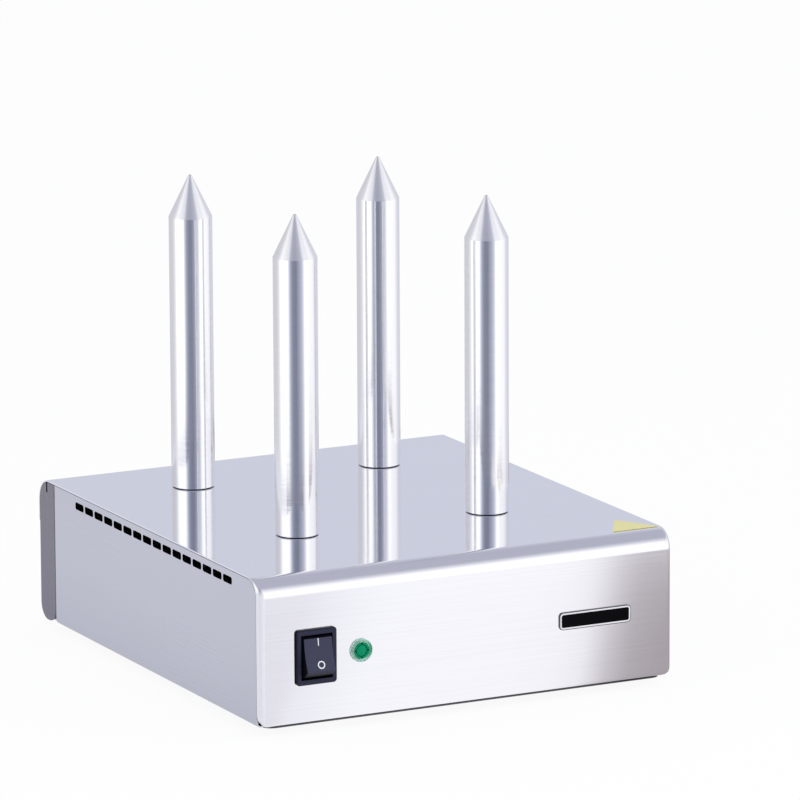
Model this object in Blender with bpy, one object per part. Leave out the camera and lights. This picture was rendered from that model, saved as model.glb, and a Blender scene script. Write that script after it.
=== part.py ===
"""Hot dog spike machine: a low stainless housing with four heated spikes, a rocker switch and a lamp.

Metres. X runs to the right, Y to the rear and Z up. Every piece hangs from one empty at the middle of the
housing's depth, level with the lower edge of the front, so sizes below are read from there."""

import math

import bmesh
import bpy

for old_object in list(bpy.data.objects):
    bpy.data.objects.remove(old_object, do_unlink=True)

# Fits
fit_gap = 0.0003
glue_gap = 0.0001
cut_margin = 0.002
merge_distance = 0.0000001

# Housing
sheet = 0.0008
housing_width = 0.2514
housing_depth = 0.2856
housing_height = 0.0812
ground_clearance = 0.006
front_bend_radius = 0.0105
rear_bend_radius = 0.013
edge_roll_radius = 0.003
hem_radius = 0.002
front_lip_depth = 0.014
front_lip_relief = 0.022
front_corner_radius = 0.0065
rear_lip_height = 0.012

# Side panels
side_hem_radius = 0.0024
side_lip_width = 0.020
side_flange_width = 0.008
side_flange_height = 0.064
side_flange_setback = 0.0001
joggle_length = 0.001
slot_count = 16
slot_pitch = 0.0128
slot_length = 0.0111
slot_height = 0.0042
slot_corner_radius = 0.0012
slot_below_top = 0.0067

# Rear panel
rear_flange_depth = 0.0206
rear_corner_radius = 0.009
rear_floor_flat = 0.002
flange_flat = 0.0021
crease_width = 0.0011
crease_depth = 0.0004
crease_start = 0.004
notch_width = 0.0018
notch_height = 0.0062

# Bottom plate
plate_side_inset = 0.005
plate_front_inset = 0.002
plate_rear_inset = 0.005
plate_corner_radius = 0.006

# Feet
foot_side_inset = 0.0327
foot_front_inset = 0.040
foot_top_radius = 0.010
foot_base_radius = 0.0085
foot_edge = 0.0008
foot_recess_clearance = 0.001
foot_recess_cover = 0.0009

# Spikes
spike_radius = 0.012
spike_height = 0.178
cone_height = 0.024
spike_tip_radius = 0.0005
spike_spacing_across = 0.117
spike_spacing_along = 0.133
spike_pattern_shift = 0.0137
heater_radius = 0.005
heater_below_cone = 0.004
stub_wall = 0.0017
stub_length = 0.020
heater_tail = 0.006
spike_washer_radius = 0.012
spike_washer_height = 0.0015
spike_nut_flats = 0.022
spike_nut_height = 0.007

# Switch
switch_from_side = 0.0337
control_height = 0.0365
bezel_width = 0.024
bezel_height = 0.0305
bezel_thickness = 0.0016
bezel_corner_radius = 0.0018
bezel_edge = 0.0005
bezel_flange_side = 0.0014
bezel_flange_end = 0.0014
switch_body_depth = 0.020
switch_side_wall = 0.0012
switch_end_wall = 0.0015
switch_floor = 0.0065
snap_height = 0.001
snap_length = 0.004
snap_width = 0.010
rocker_side_gap = 0.0004
rocker_end_gap = 0.0004
rocker_pivot_depth = 0.002
rocker_back_depth = 0.007
rocker_face_sag = 0.0008
rocker_edge = 0.0007
rocker_edge_share = 0.28
rocker_draft = 0.0005
rocker_corner_angle = math.radians(49)
rocker_tilt = math.radians(15)
axle_radius = 0.0015
axle_inset = 0.0005
terminal_width = 0.0063
terminal_thickness = 0.0008
terminal_length = 0.012
terminal_seat = 0.003
terminal_spacing_across = 0.0096
terminal_spacing_up = 0.014

# Lamp
lamp_from_switch = 0.0272
lens_radius = 0.0064
lens_rim_height = 0.0014
lens_dome_radius = 0.0045
lens_dome_height = 0.0028
lens_shoulder_radius = 0.00225
lens_shoulder_drop = 0.00015
lens_groove_width = 0.0006
lens_groove_depth = 0.0006
lens_stem_radius = 0.0036
lens_stem_length = 0.005
lens_stem_gap = 0.0004
lamp_wall = 0.001
lamp_body_length = 0.024
lamp_floor = 0.002
lamp_clip_radius = 0.008
lamp_clip_height = 0.002

# Name plate and corner patch
plate_from_side = 0.0479
plate_rise = 0.0015
plate_width = 0.0442
plate_height = 0.0098
plate_thickness = 0.0007
plate_edge_radius = 0.0024
patch_side = 0.028
patch_thickness = 0.00025
patch_from_side = 0.0161
patch_from_front = 0.0121

# Cable gland
gland_from_side = 0.0457
gland_height = 0.026
gland_flats = 0.019
gland_flange_height = 0.004
gland_stub_wall = 0.0021
gland_stub_length = 0.0095
gland_neck_wall = 0.0015
gland_neck_length = 0.007
gland_bore_radius = 0.0055
gland_cap_wall = 0.0022
gland_cap_end = 0.0047
gland_cap_round = 0.0030
gland_seal_wall = 0.0013
gland_seal_length = 0.009
gland_nut_height = 0.004

# Fasteners
screw_shaft_radius = 0.00145
screw_head_radius = 0.00275
screw_head_height = 0.0016
screw_length = 0.006
screw_crown_share = 1 / 3
lip_screw_edge = 0.0036
lip_screw_from_end = 0.0535
rear_screw_from_side = 0.0307
foot_screw_shaft_radius = 0.00195
foot_screw_head_radius = 0.0036
foot_screw_head_height = 0.0017
small_nut_flats = 0.007
small_nut_height = 0.003
earth_from_foot = 0.022
earth_stud_height = 0.012

# Terminal block
block_from_side = 0.0807
block_y = 0.012
block_width = 0.046
block_depth = 0.018
block_height = 0.016
block_edge = 0.001
block_ways = 3
block_pitch = 0.014
block_row_spacing = 0.009
block_well_radius = 0.0026
block_wire_radius = 0.0022
block_wire_height = 0.006

# Facets
large_round = 34
middle_round = 24
small_round = 16
nut_round = 18
bend_steps = 8
corner_steps = 4
slot_corner_steps = 2
rocker_steps = 6
smooth_angle = math.radians(30)
bevel_angle = math.radians(40)

# Places that follow from the sizes
half_width = housing_width / 2
front_y = -housing_depth / 2
rear_y = housing_depth / 2
seam_y = front_y + edge_roll_radius
front_lip_half_width = half_width - front_lip_relief
under_sheet = housing_height - sheet - fit_gap
pan_rear_y = rear_y - sheet - fit_gap
flange_front_y = rear_y - rear_flange_depth
flange_corner_radius = pan_rear_y - flange_front_y - rear_corner_radius - flange_flat
rear_floor_depth = rear_corner_radius + rear_floor_flat
rear_lip_low = housing_height - rear_bend_radius - rear_lip_height
plate_top = -fit_gap
plate_bottom = plate_top - sheet
foot_recess_radius = foot_screw_head_radius + foot_recess_clearance
foot_recess_depth = foot_screw_head_height + foot_recess_cover
heater_reach = spike_height - cone_height - heater_below_cone
stub_radius = heater_radius + fit_gap + stub_wall
switch_x = switch_from_side - half_width
switch_body_width = bezel_width - 2 * bezel_flange_side
switch_body_height = bezel_height - 2 * bezel_flange_end
switch_well_width = switch_body_width - 2 * switch_side_wall
switch_well_height = switch_body_height - 2 * switch_end_wall
switch_well_depth = switch_body_depth - switch_floor
rocker_width = switch_well_width - 2 * rocker_side_gap
rocker_radius = switch_well_height / 2 - rocker_end_gap
rocker_reach = rocker_radius * math.cos(rocker_corner_angle - rocker_tilt) - rocker_pivot_depth
rocker_reach -= rocker_edge * rocker_edge_share
axle_reach = switch_body_width / 2 - axle_inset
lamp_x = switch_x + lamp_from_switch
lamp_bore_radius = lens_stem_radius + lens_stem_gap
lamp_body_radius = lamp_bore_radius + lamp_wall
lens_groove_radius = lens_dome_radius + lens_groove_width
plate_x = half_width - plate_from_side
plate_z = control_height + plate_rise
gland_x = half_width - gland_from_side
gland_stub_radius = gland_bore_radius + gland_stub_wall
gland_neck_radius = gland_bore_radius + gland_neck_wall
gland_cap_radius = gland_neck_radius + fit_gap + gland_cap_wall
gland_cap_length = gland_neck_length + fit_gap + gland_cap_end
gland_seal_bore = gland_bore_radius - fit_gap - gland_seal_wall
block_x = half_width - block_from_side
gland_reach = fit_gap + gland_flange_height + fit_gap + gland_cap_length - sheet - fit_gap
spike_places = {
    "front_left": (-spike_spacing_across / 2, spike_pattern_shift - spike_spacing_along / 2),
    "front_right": (spike_spacing_across / 2, spike_pattern_shift - spike_spacing_along / 2),
    "rear_left": (-spike_spacing_across / 2, spike_pattern_shift + spike_spacing_along / 2),
    "rear_right": (spike_spacing_across / 2, spike_pattern_shift + spike_spacing_along / 2),
}
foot_places = {
    "front_left": (foot_side_inset - half_width, front_y + foot_front_inset),
    "front_right": (half_width - foot_side_inset, front_y + foot_front_inset),
    "rear_left": (foot_side_inset - half_width, rear_y - foot_front_inset),
    "rear_right": (half_width - foot_side_inset, rear_y - foot_front_inset),
}
lip_screw_x = half_width - side_lip_width + lip_screw_edge
lip_screw_places = {
    "front_left": (-lip_screw_x, front_y + lip_screw_from_end),
    "front_right": (lip_screw_x, front_y + lip_screw_from_end),
    "rear_left": (-lip_screw_x, rear_y - lip_screw_from_end),
    "rear_right": (lip_screw_x, rear_y - lip_screw_from_end),
}
earth_stud_x = foot_places["rear_left"][0] + earth_from_foot
earth_stud_y = foot_places["rear_left"][1]
rear_screw_z = rear_lip_low + rear_lip_height / 2
rear_screw_x = half_width - rear_screw_from_side
rear_screw_places = {
    "left": (-rear_screw_x, rear_screw_z),
    "middle": (0, rear_screw_z),
    "right": (rear_screw_x, rear_screw_z),
}
terminal_places = {
    "lower_left": (-terminal_spacing_across / 2, -terminal_spacing_up / 2),
    "lower_right": (terminal_spacing_across / 2, -terminal_spacing_up / 2),
    "upper_left": (-terminal_spacing_across / 2, terminal_spacing_up / 2),
    "upper_right": (terminal_spacing_across / 2, terminal_spacing_up / 2),
}
facing_front = (math.pi / 2, 0, 0)
facing_rear = (-math.pi / 2, 0, 0)


def material(name, colour, roughness, metallic, alpha=1.0):
    made = bpy.data.materials.new(name)
    made.use_nodes = True
    shader = made.node_tree.nodes["Principled BSDF"]
    shader.inputs["Base Color"].default_value = (*colour, 1.0)
    shader.inputs["Roughness"].default_value = roughness
    shader.inputs["Metallic"].default_value = metallic
    shader.inputs["Alpha"].default_value = alpha
    made.diffuse_color = (*colour, alpha)
    return made


shell_steel = material("shell_steel", (0.72, 0.72, 0.74), 0.22, 1.0)
side_steel = material("side_steel", (0.62, 0.64, 0.70), 0.35, 1.0)
rear_steel = material("rear_steel", (0.30, 0.29, 0.31), 0.40, 1.0)
zinc_steel = material("zinc_steel", (0.55, 0.55, 0.56), 0.45, 1.0)
plate_steel = material("plate_steel", (0.10, 0.10, 0.11), 0.50, 1.0)
spike_aluminium = material("spike_aluminium", (0.80, 0.80, 0.82), 0.25, 1.0)
heater_steel = material("heater_steel", (0.50, 0.49, 0.47), 0.35, 1.0)
switch_plastic = material("switch_plastic", (0.018, 0.018, 0.024), 0.35, 0.0)
rocker_plastic = material("rocker_plastic", (0.022, 0.022, 0.030), 0.30, 0.0)
terminal_brass = material("terminal_brass", (0.78, 0.60, 0.28), 0.35, 1.0)
lens_green = material("lens_green", (0.10, 0.62, 0.32), 0.15, 0.0)
lamp_plastic = material("lamp_plastic", (0.80, 0.80, 0.78), 0.40, 0.0)
black_nylon = material("black_nylon", (0.020, 0.020, 0.022), 0.45, 0.0)
black_rubber = material("black_rubber", (0.025, 0.025, 0.025), 0.80, 0.0)
badge_metal = material("badge_metal", (0.16, 0.16, 0.18), 0.35, 1.0)
patch_yellow = material("patch_yellow", (0.86, 0.60, 0.05), 0.50, 0.0)
block_ceramic = material("block_ceramic", (0.85, 0.83, 0.78), 0.40, 0.0)

machine = bpy.data.objects.new("machine", None)
bpy.context.scene.collection.objects.link(machine)
machine.location = (0, (rocker_reach - gland_reach) / 2, ground_clearance)


# Building blocks


def piece(name, bm, finish=None, location=(0, 0, 0), rotation=(0, 0, 0)):
    """Turns a bmesh into one object under the machine's empty, with its faces pointing out."""
    bmesh.ops.recalc_face_normals(bm, faces=bm.faces)
    mesh = bpy.data.meshes.new(name)
    bm.to_mesh(mesh)
    bm.free()
    mesh.shade_smooth()
    mesh.set_sharp_from_angle(angle=smooth_angle)
    made = bpy.data.objects.new(name, mesh)
    bpy.context.scene.collection.objects.link(made)
    made.parent = machine
    made.location = location
    made.rotation_euler = rotation
    if finish:
        mesh.materials.append(finish)
    return made


def cutter(name, bm, location=(0, 0, 0), rotation=(0, 0, 0)):
    """A helper that is only ever subtracted or added."""
    made = piece(name, bm, None, location, rotation)
    made.hide_render = True
    made.display_type = "WIRE"
    return made


def combine(target, helper, operation):
    step = target.modifiers.new(operation.lower() + "_" + helper.name, "BOOLEAN")
    step.operation = operation
    step.object = helper


def arc(centre_u, centre_v, radius, start, end, steps):
    """Points on an arc, both ends included, with angles in degrees."""
    angles = [math.radians(start + (end - start) * step / steps) for step in range(steps + 1)]
    return [(centre_u + radius * math.cos(a), centre_v + radius * math.sin(a)) for a in angles]


def circle(centre_u, centre_v, radius, count):
    return arc(centre_u, centre_v, radius, 0, 360, count)[:-1]


def hexagon(flats, count):
    """A hexagon with extra points along its sides, so that a round hole of as many points fits in it."""
    outline = []
    for step in range(count):
        angle = 2 * math.pi * step / count
        from_flat = (angle % (math.pi / 3)) - math.pi / 6
        reach = flats / 2 / math.cos(from_flat)
        outline.append((reach * math.cos(angle), reach * math.sin(angle)))
    return outline


def rounded(corners, steps):
    """An outline whose corners, each (u, v, radius), are rounded. A radius of zero leaves a corner sharp."""
    outline = []
    for index, (u, v, radius) in enumerate(corners):
        before = corners[index - 1]
        after = corners[(index + 1) % len(corners)]
        if not radius:
            outline.append((u, v))
            continue
        to_before = math.atan2(before[1] - v, before[0] - u)
        to_after = math.atan2(after[1] - v, after[0] - u)
        half_turn = ((to_after - to_before + math.pi) % (2 * math.pi) - math.pi) / 2
        reach = radius / math.sin(abs(half_turn))
        middle = to_before + half_turn
        centre = (u + reach * math.cos(middle), v + reach * math.sin(middle))
        sweep = math.pi - abs(2 * half_turn)
        sign = math.copysign(1, half_turn)
        start = middle + math.pi + sign * sweep / 2
        for step in range(steps + 1):
            angle = start - sign * sweep * step / steps
            outline.append((centre[0] + radius * math.cos(angle), centre[1] + radius * math.sin(angle)))
    return outline


def rectangle(low_u, low_v, high_u, high_v, radius, steps=corner_steps):
    corners = [(low_u, low_v), (high_u, low_v), (high_u, high_v), (low_u, high_v)]
    return rounded([(u, v, radius) for u, v in corners], steps)


def place(axis, along, u, v):
    """The point at this distance along an axis, with u and v on the two other axes in X, Y, Z order."""
    return {"X": (along, u, v), "Y": (u, along, v), "Z": (u, v, along)}[axis]


def loft(bm, sections):
    """Skins closed rings of points that all have as many points, and caps both ends."""
    rings = [[bm.verts.new(point) for point in section] for section in sections]
    for near, far in zip(rings, rings[1:]):
        for index in range(len(near)):
            following = (index + 1) % len(near)
            bm.faces.new((near[index], near[following], far[following], far[index]))
    bm.faces.new(rings[0])
    bm.faces.new(rings[-1])


def prism(bm, outline, low, high, axis):
    loft(bm, [[place(axis, along, u, v) for u, v in outline] for along in (low, high)])


def tube(bm, outer, inner, low, high, axis):
    """A prism with a hole, from two outlines that have as many points."""
    ends = []
    for along in (low, high):
        ends.append([[bm.verts.new(place(axis, along, u, v)) for u, v in line] for line in (outer, inner)])
    for index in range(len(outer)):
        following = (index + 1) % len(outer)
        loop = [ends[0][0], ends[1][0], ends[1][1], ends[0][1]]
        for near, far in zip(loop, loop[1:] + loop[:1]):
            bm.faces.new((near[index], near[following], far[following], far[index]))


def turned(bm, profile, count):
    """Spins a profile of (radius, height) points about Z. A closed profile off the axis makes a ring."""
    points = [bm.verts.new((radius, 0, height)) for radius, height in profile]
    edges = [bm.edges.new(pair) for pair in zip(points, points[1:])]
    if profile[0][0] and profile[-1][0]:
        edges.append(bm.edges.new((points[-1], points[0])))
    bmesh.ops.spin(
        bm,
        geom=points + edges,
        cent=(0, 0, 0),
        axis=(0, 0, 1),
        angle=2 * math.pi,
        steps=count,
        use_merge=True,
    )
    bmesh.ops.remove_doubles(bm, verts=bm.verts, dist=merge_distance)


# Housing


def front_rows(radius_less, start):
    """The side view of the front from its hem to the top, this much inside the outer surface."""
    rows = list(start)
    rows += arc(front_y + hem_radius, hem_radius, hem_radius - radius_less, 270, 180, corner_steps)
    rows += arc(
        front_y + front_bend_radius,
        housing_height - front_bend_radius,
        front_bend_radius - radius_less,
        180,
        90,
        bend_steps,
    )
    return rows


def rear_rows(radius_less, end):
    rows = arc(
        rear_y - rear_bend_radius,
        housing_height - rear_bend_radius,
        rear_bend_radius - radius_less,
        90,
        0,
        bend_steps,
    )
    return rows + list(end)


def roll_stations(roll_radius, overshoot):
    """(x, setback) pairs across the front, whose left and right edges roll back to the side panels."""
    roll_centre = half_width - edge_roll_radius
    quarter = arc(roll_centre, roll_radius, roll_radius, 270, 360, corner_steps)
    if overshoot:
        quarter.append((half_width + overshoot, roll_radius))
    return [(-x, setback) for x, setback in reversed(quarter)] + quarter


def rolled_block(name, front, rear, roll_radius, overshoot, finish=None):
    """The front rows follow the rolled edge, and the rear rows run straight across."""
    bm = bmesh.new()
    sections = []
    for x, setback in roll_stations(roll_radius, overshoot):
        section = [(x, y + setback, z) for y, z in front]
        section += [(x, y, z) for y, z in rear]
        sections.append(section)
    loft(bm, sections)
    return piece(name, bm, finish)


def housing_shell():
    shell = rolled_block(
        "housing_shell",
        front_rows(0, []),
        rear_rows(0, [(rear_y, 0)]),
        edge_roll_radius,
        0,
        shell_steel,
    )
    lip_end = front_y + front_lip_depth
    past_rear = rear_y + cut_margin
    cavity = rolled_block(
        "shell_cavity",
        front_rows(sheet, [(lip_end, -cut_margin), (lip_end, sheet)]),
        rear_rows(
            sheet,
            [(rear_y - sheet, rear_lip_low), (past_rear, rear_lip_low), (past_rear, -cut_margin)],
        ),
        edge_roll_radius - sheet,
        cut_margin,
    )
    cavity.hide_render = True
    cavity.display_type = "WIRE"
    combine(shell, cavity, "DIFFERENCE")
    combine(shell, shell_openings(), "DIFFERENCE")
    combine(shell, shell_corners(), "DIFFERENCE")
    combine(shell, lip_reliefs(), "DIFFERENCE")
    return shell


def shell_openings():
    bm = bmesh.new()
    for x, y in spike_places.values():
        hole = circle(x, y, stub_radius + fit_gap, middle_round)
        prism(bm, hole, housing_height - sheet - cut_margin, housing_height + cut_margin, "Z")
    switch_hole = rectangle(
        switch_x - switch_body_width / 2 - fit_gap,
        control_height - switch_body_height / 2 - fit_gap,
        switch_x + switch_body_width / 2 + fit_gap,
        control_height + switch_body_height / 2 + fit_gap,
        0,
    )
    lamp_hole = circle(lamp_x, control_height, lamp_body_radius + fit_gap, middle_round)
    for hole in (switch_hole, lamp_hole):
        prism(bm, hole, front_y - cut_margin, front_y + sheet + cut_margin, "Y")
    for x, z in rear_screw_places.values():
        hole = circle(x, z, screw_shaft_radius + fit_gap, small_round)
        prism(bm, hole, rear_y - sheet - cut_margin, rear_y + cut_margin, "Y")
    return cutter("shell_openings", bm)


def shell_corners():
    """Rounds the two lower corners of the front."""
    bm = bmesh.new()
    for side in (-1, 1):
        corner = arc(
            side * (half_width - front_corner_radius),
            front_corner_radius,
            front_corner_radius,
            270,
            270 + side * 90,
            corner_steps,
        )
        outside = side * (half_width + cut_margin)
        corner += [(outside, front_corner_radius), (outside, -cut_margin), (corner[0][0], -cut_margin)]
        prism(bm, corner, front_y - cut_margin, front_y + 2 * front_lip_depth, "Y")
    return cutter("shell_corners", bm)


def lip_reliefs():
    """Clears the ends of the front's lower lip for the lips of the side panels."""
    bm = bmesh.new()
    for side in (-1, 1):
        outside = side * (half_width + cut_margin)
        low_x, high_x = sorted((side * front_lip_half_width, outside))
        relief = rectangle(low_x, seam_y + fit_gap / 2, high_x, front_y + 2 * front_lip_depth, 0)
        prism(bm, relief, -cut_margin, sheet + fit_gap, "Z")
    return cutter("lip_reliefs", bm)


def side_panel(name, side):
    """side is -1 on the left and 1 on the right."""
    panel_front = seam_y + fit_gap
    joggle_end = flange_front_y
    joggle_start = joggle_end - joggle_length
    panel_rear = pan_rear_y - sheet - fit_gap
    joggle = sheet + fit_gap
    outer_hem = arc(side_hem_radius, side_hem_radius, side_hem_radius, 270, 180, corner_steps)
    inner_hem = arc(side_hem_radius, side_hem_radius, side_hem_radius - sheet, 180, 270, corner_steps)
    wall = [(0, under_sheet), (sheet, under_sheet)]
    outline = [(side_lip_width, 0)] + outer_hem + wall + inner_hem + [(side_lip_width, sheet)]
    stations = [(panel_front, 0), (joggle_start, 0), (joggle_end, joggle), (panel_rear, joggle)]
    bm = bmesh.new()
    sections = []
    for y, inset in stations:
        sections.append([(side * (half_width - inset - depth), y, z) for depth, z in outline])
    loft(bm, sections)
    panel = piece(name, bm, side_steel)
    combine(panel, side_flange(name, side), "UNION")
    combine(panel, side_openings(name, side), "DIFFERENCE")
    combine(panel, side_corners(name, side), "DIFFERENCE")
    return panel


def side_flange(name, side):
    """The front edge of the panel turns in behind the shell's front, to be spot welded to it."""
    bm = bmesh.new()
    front = seam_y + fit_gap + side_flange_setback
    low_x, high_x = sorted((side * (half_width - sheet / 2), side * (half_width - side_flange_width)))
    prism(bm, rectangle(low_x, front, high_x, front + sheet, 0), side_hem_radius, side_flange_height, "Z")
    return cutter(name + "_flange", bm)


def side_openings(name, side):
    bm = bmesh.new()
    wall_inside = half_width - sheet - cut_margin
    wall_outside = half_width + cut_margin
    low_x, high_x = sorted((side * wall_inside, side * wall_outside))
    row_middle = (seam_y + flange_front_y) / 2
    slot_z = housing_height - slot_below_top
    for index in range(slot_count):
        y = row_middle + (index - (slot_count - 1) / 2) * slot_pitch
        slot = rectangle(
            y - slot_length / 2,
            slot_z - slot_height / 2,
            y + slot_length / 2,
            slot_z + slot_height / 2,
            slot_corner_radius,
            slot_corner_steps,
        )
        prism(bm, slot, low_x, high_x, "X")
    for x, y in lip_screw_places.values():
        if x * side > 0:
            hole = circle(x, y, screw_shaft_radius + fit_gap, small_round)
            prism(bm, hole, -cut_margin, sheet + cut_margin, "Z")
    return cutter(name + "_openings", bm)


def side_corners(name, side):
    """Rounds the panel's corners to lie inside the shell's two bends and the rear panel's lower one."""
    bm = bmesh.new()
    low_x, high_x = sorted((side * front_lip_half_width, side * (half_width + cut_margin)))
    past_front = seam_y - cut_margin
    past_rear = pan_rear_y + cut_margin
    past_top = under_sheet + cut_margin
    radius = front_bend_radius - sheet - fit_gap
    corner = arc(seam_y + fit_gap + radius, under_sheet - radius, radius, 180, 90, bend_steps)
    corner += [(corner[-1][0], past_top), (past_front, past_top), (past_front, corner[0][1])]
    prism(bm, corner, low_x, high_x, "X")
    radius = rear_bend_radius - sheet - fit_gap
    corner = arc(rear_y - rear_bend_radius, under_sheet - radius, radius, 90, 0, bend_steps)
    corner += [(past_rear, corner[-1][1]), (past_rear, past_top), (corner[0][0], past_top)]
    prism(bm, corner, low_x, high_x, "X")
    radius = rear_corner_radius - sheet - fit_gap
    corner = arc(pan_rear_y - rear_corner_radius, rear_corner_radius, radius, 270, 360, bend_steps)
    floor_front = pan_rear_y - rear_floor_depth - fit_gap
    corner += [(past_rear, corner[-1][1]), (past_rear, -cut_margin), (floor_front, -cut_margin)]
    corner.append((floor_front, corner[0][1]))
    prism(bm, corner, low_x, high_x, "X")
    return cutter(name + "_corners", bm)


def rear_panel():
    """A pan: its back, its floor and two side flanges that lap the side panels' joggled ends."""
    outline = rounded(
        [
            (flange_front_y, 0, flange_corner_radius),
            (pan_rear_y, 0, rear_corner_radius),
            (pan_rear_y, under_sheet, rear_bend_radius - sheet - fit_gap),
            (flange_front_y, under_sheet, 0),
        ],
        bend_steps,
    )
    bm = bmesh.new()
    prism(bm, outline, -half_width, half_width, "X")
    pan = piece("rear_panel", bm, rear_steel)
    wall_top = housing_height - rear_bend_radius
    floor_front = pan_rear_y - rear_floor_depth
    inner = rounded(
        [
            (flange_front_y - cut_margin, -cut_margin, 0),
            (floor_front, -cut_margin, 0),
            (floor_front, sheet, 0),
            (pan_rear_y - sheet, sheet, rear_corner_radius - sheet),
            (pan_rear_y - sheet, wall_top, 0),
            (pan_rear_y + cut_margin, wall_top, 0),
            (pan_rear_y + cut_margin, under_sheet + cut_margin, 0),
            (flange_front_y - cut_margin, under_sheet + cut_margin, 0),
        ],
        bend_steps,
    )
    bm = bmesh.new()
    prism(bm, inner, sheet - half_width, half_width - sheet, "X")
    combine(pan, cutter("pan_cavity", bm), "DIFFERENCE")
    combine(pan, rear_openings(), "DIFFERENCE")
    return pan


def rear_openings():
    bm = bmesh.new()
    middle_y = (flange_front_y + pan_rear_y) / 2
    for side in (-1, 1):
        crease = [
            (side * (half_width + crease_depth), middle_y - crease_width),
            (side * (half_width - crease_depth), middle_y),
            (side * (half_width + crease_depth), middle_y + crease_width),
        ]
        prism(bm, crease, crease_start, under_sheet - notch_height, "Z")
        low_x, high_x = sorted((side * (half_width - sheet - cut_margin), side * (half_width + cut_margin)))
        notch = rectangle(low_x, middle_y - notch_width / 2, high_x, middle_y + notch_width / 2, 0)
        prism(bm, notch, under_sheet - notch_height + fit_gap, under_sheet + cut_margin, "Z")
    for x, z in rear_screw_places.values():
        hole = circle(x, z, screw_shaft_radius + fit_gap, small_round)
        prism(bm, hole, pan_rear_y - sheet - cut_margin, pan_rear_y + cut_margin, "Y")
    hole = circle(gland_x, gland_height, gland_stub_radius + fit_gap, middle_round)
    prism(bm, hole, pan_rear_y - sheet - cut_margin, pan_rear_y + cut_margin, "Y")
    return cutter("rear_openings", bm)


def bottom_plate():
    outline = rectangle(
        plate_side_inset - half_width,
        front_y + plate_front_inset,
        half_width - plate_side_inset,
        rear_y - plate_rear_inset,
        plate_corner_radius,
    )
    bm = bmesh.new()
    prism(bm, outline, plate_bottom, plate_top, "Z")
    plate = piece("bottom_plate", bm, plate_steel)
    bm = bmesh.new()
    holes = [(x, y, screw_shaft_radius) for x, y in lip_screw_places.values()]
    holes += [(x, y, foot_screw_shaft_radius) for x, y in foot_places.values()]
    holes.append((earth_stud_x, earth_stud_y, foot_screw_shaft_radius))
    for x, y, radius in holes:
        hole = circle(x, y, radius + fit_gap, small_round)
        prism(bm, hole, plate_bottom - cut_margin, plate_top + cut_margin, "Z")
    combine(plate, cutter("plate_holes", bm), "DIFFERENCE")
    return plate


# Spikes and heaters


def spike(name, x, y):
    """Turned bar with a conical tip. Its stub goes down through the top, and its bore holds the heater."""
    bore = heater_radius + fit_gap
    stub_end = -stub_length
    bm = bmesh.new()
    turned(
        bm,
        [
            (0, spike_height),
            (spike_tip_radius, spike_height),
            (spike_radius, spike_height - cone_height),
            (spike_radius, fit_gap),
            (stub_radius, fit_gap),
            (stub_radius, stub_end),
            (bore, stub_end),
            (bore, heater_reach + fit_gap),
            (0, heater_reach + fit_gap),
        ],
        large_round,
    )
    return piece("spike_" + name, bm, spike_aluminium, (x, y, housing_height))


def heater(name, x, y):
    bm = bmesh.new()
    tail = -stub_length - heater_tail
    turned(bm, [(0, heater_reach), (heater_radius, heater_reach), (heater_radius, tail), (0, tail)], small_round)
    return piece("heater_" + name, bm, heater_steel, (x, y, housing_height))


def spike_washer(name, x, y):
    bm = bmesh.new()
    outer = circle(0, 0, spike_washer_radius, middle_round)
    inner = circle(0, 0, stub_radius + fit_gap, middle_round)
    tube(bm, outer, inner, -spike_washer_height, 0, "Z")
    return piece("spike_washer_" + name, bm, zinc_steel, (x, y, under_sheet))


def spike_nut(name, x, y):
    bm = bmesh.new()
    outer = hexagon(spike_nut_flats, nut_round)
    inner = circle(0, 0, stub_radius + fit_gap, nut_round)
    tube(bm, outer, inner, -spike_nut_height, 0, "Z")
    top = under_sheet - spike_washer_height - fit_gap
    return piece("spike_nut_" + name, bm, zinc_steel, (x, y, top))


# Switch


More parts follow.
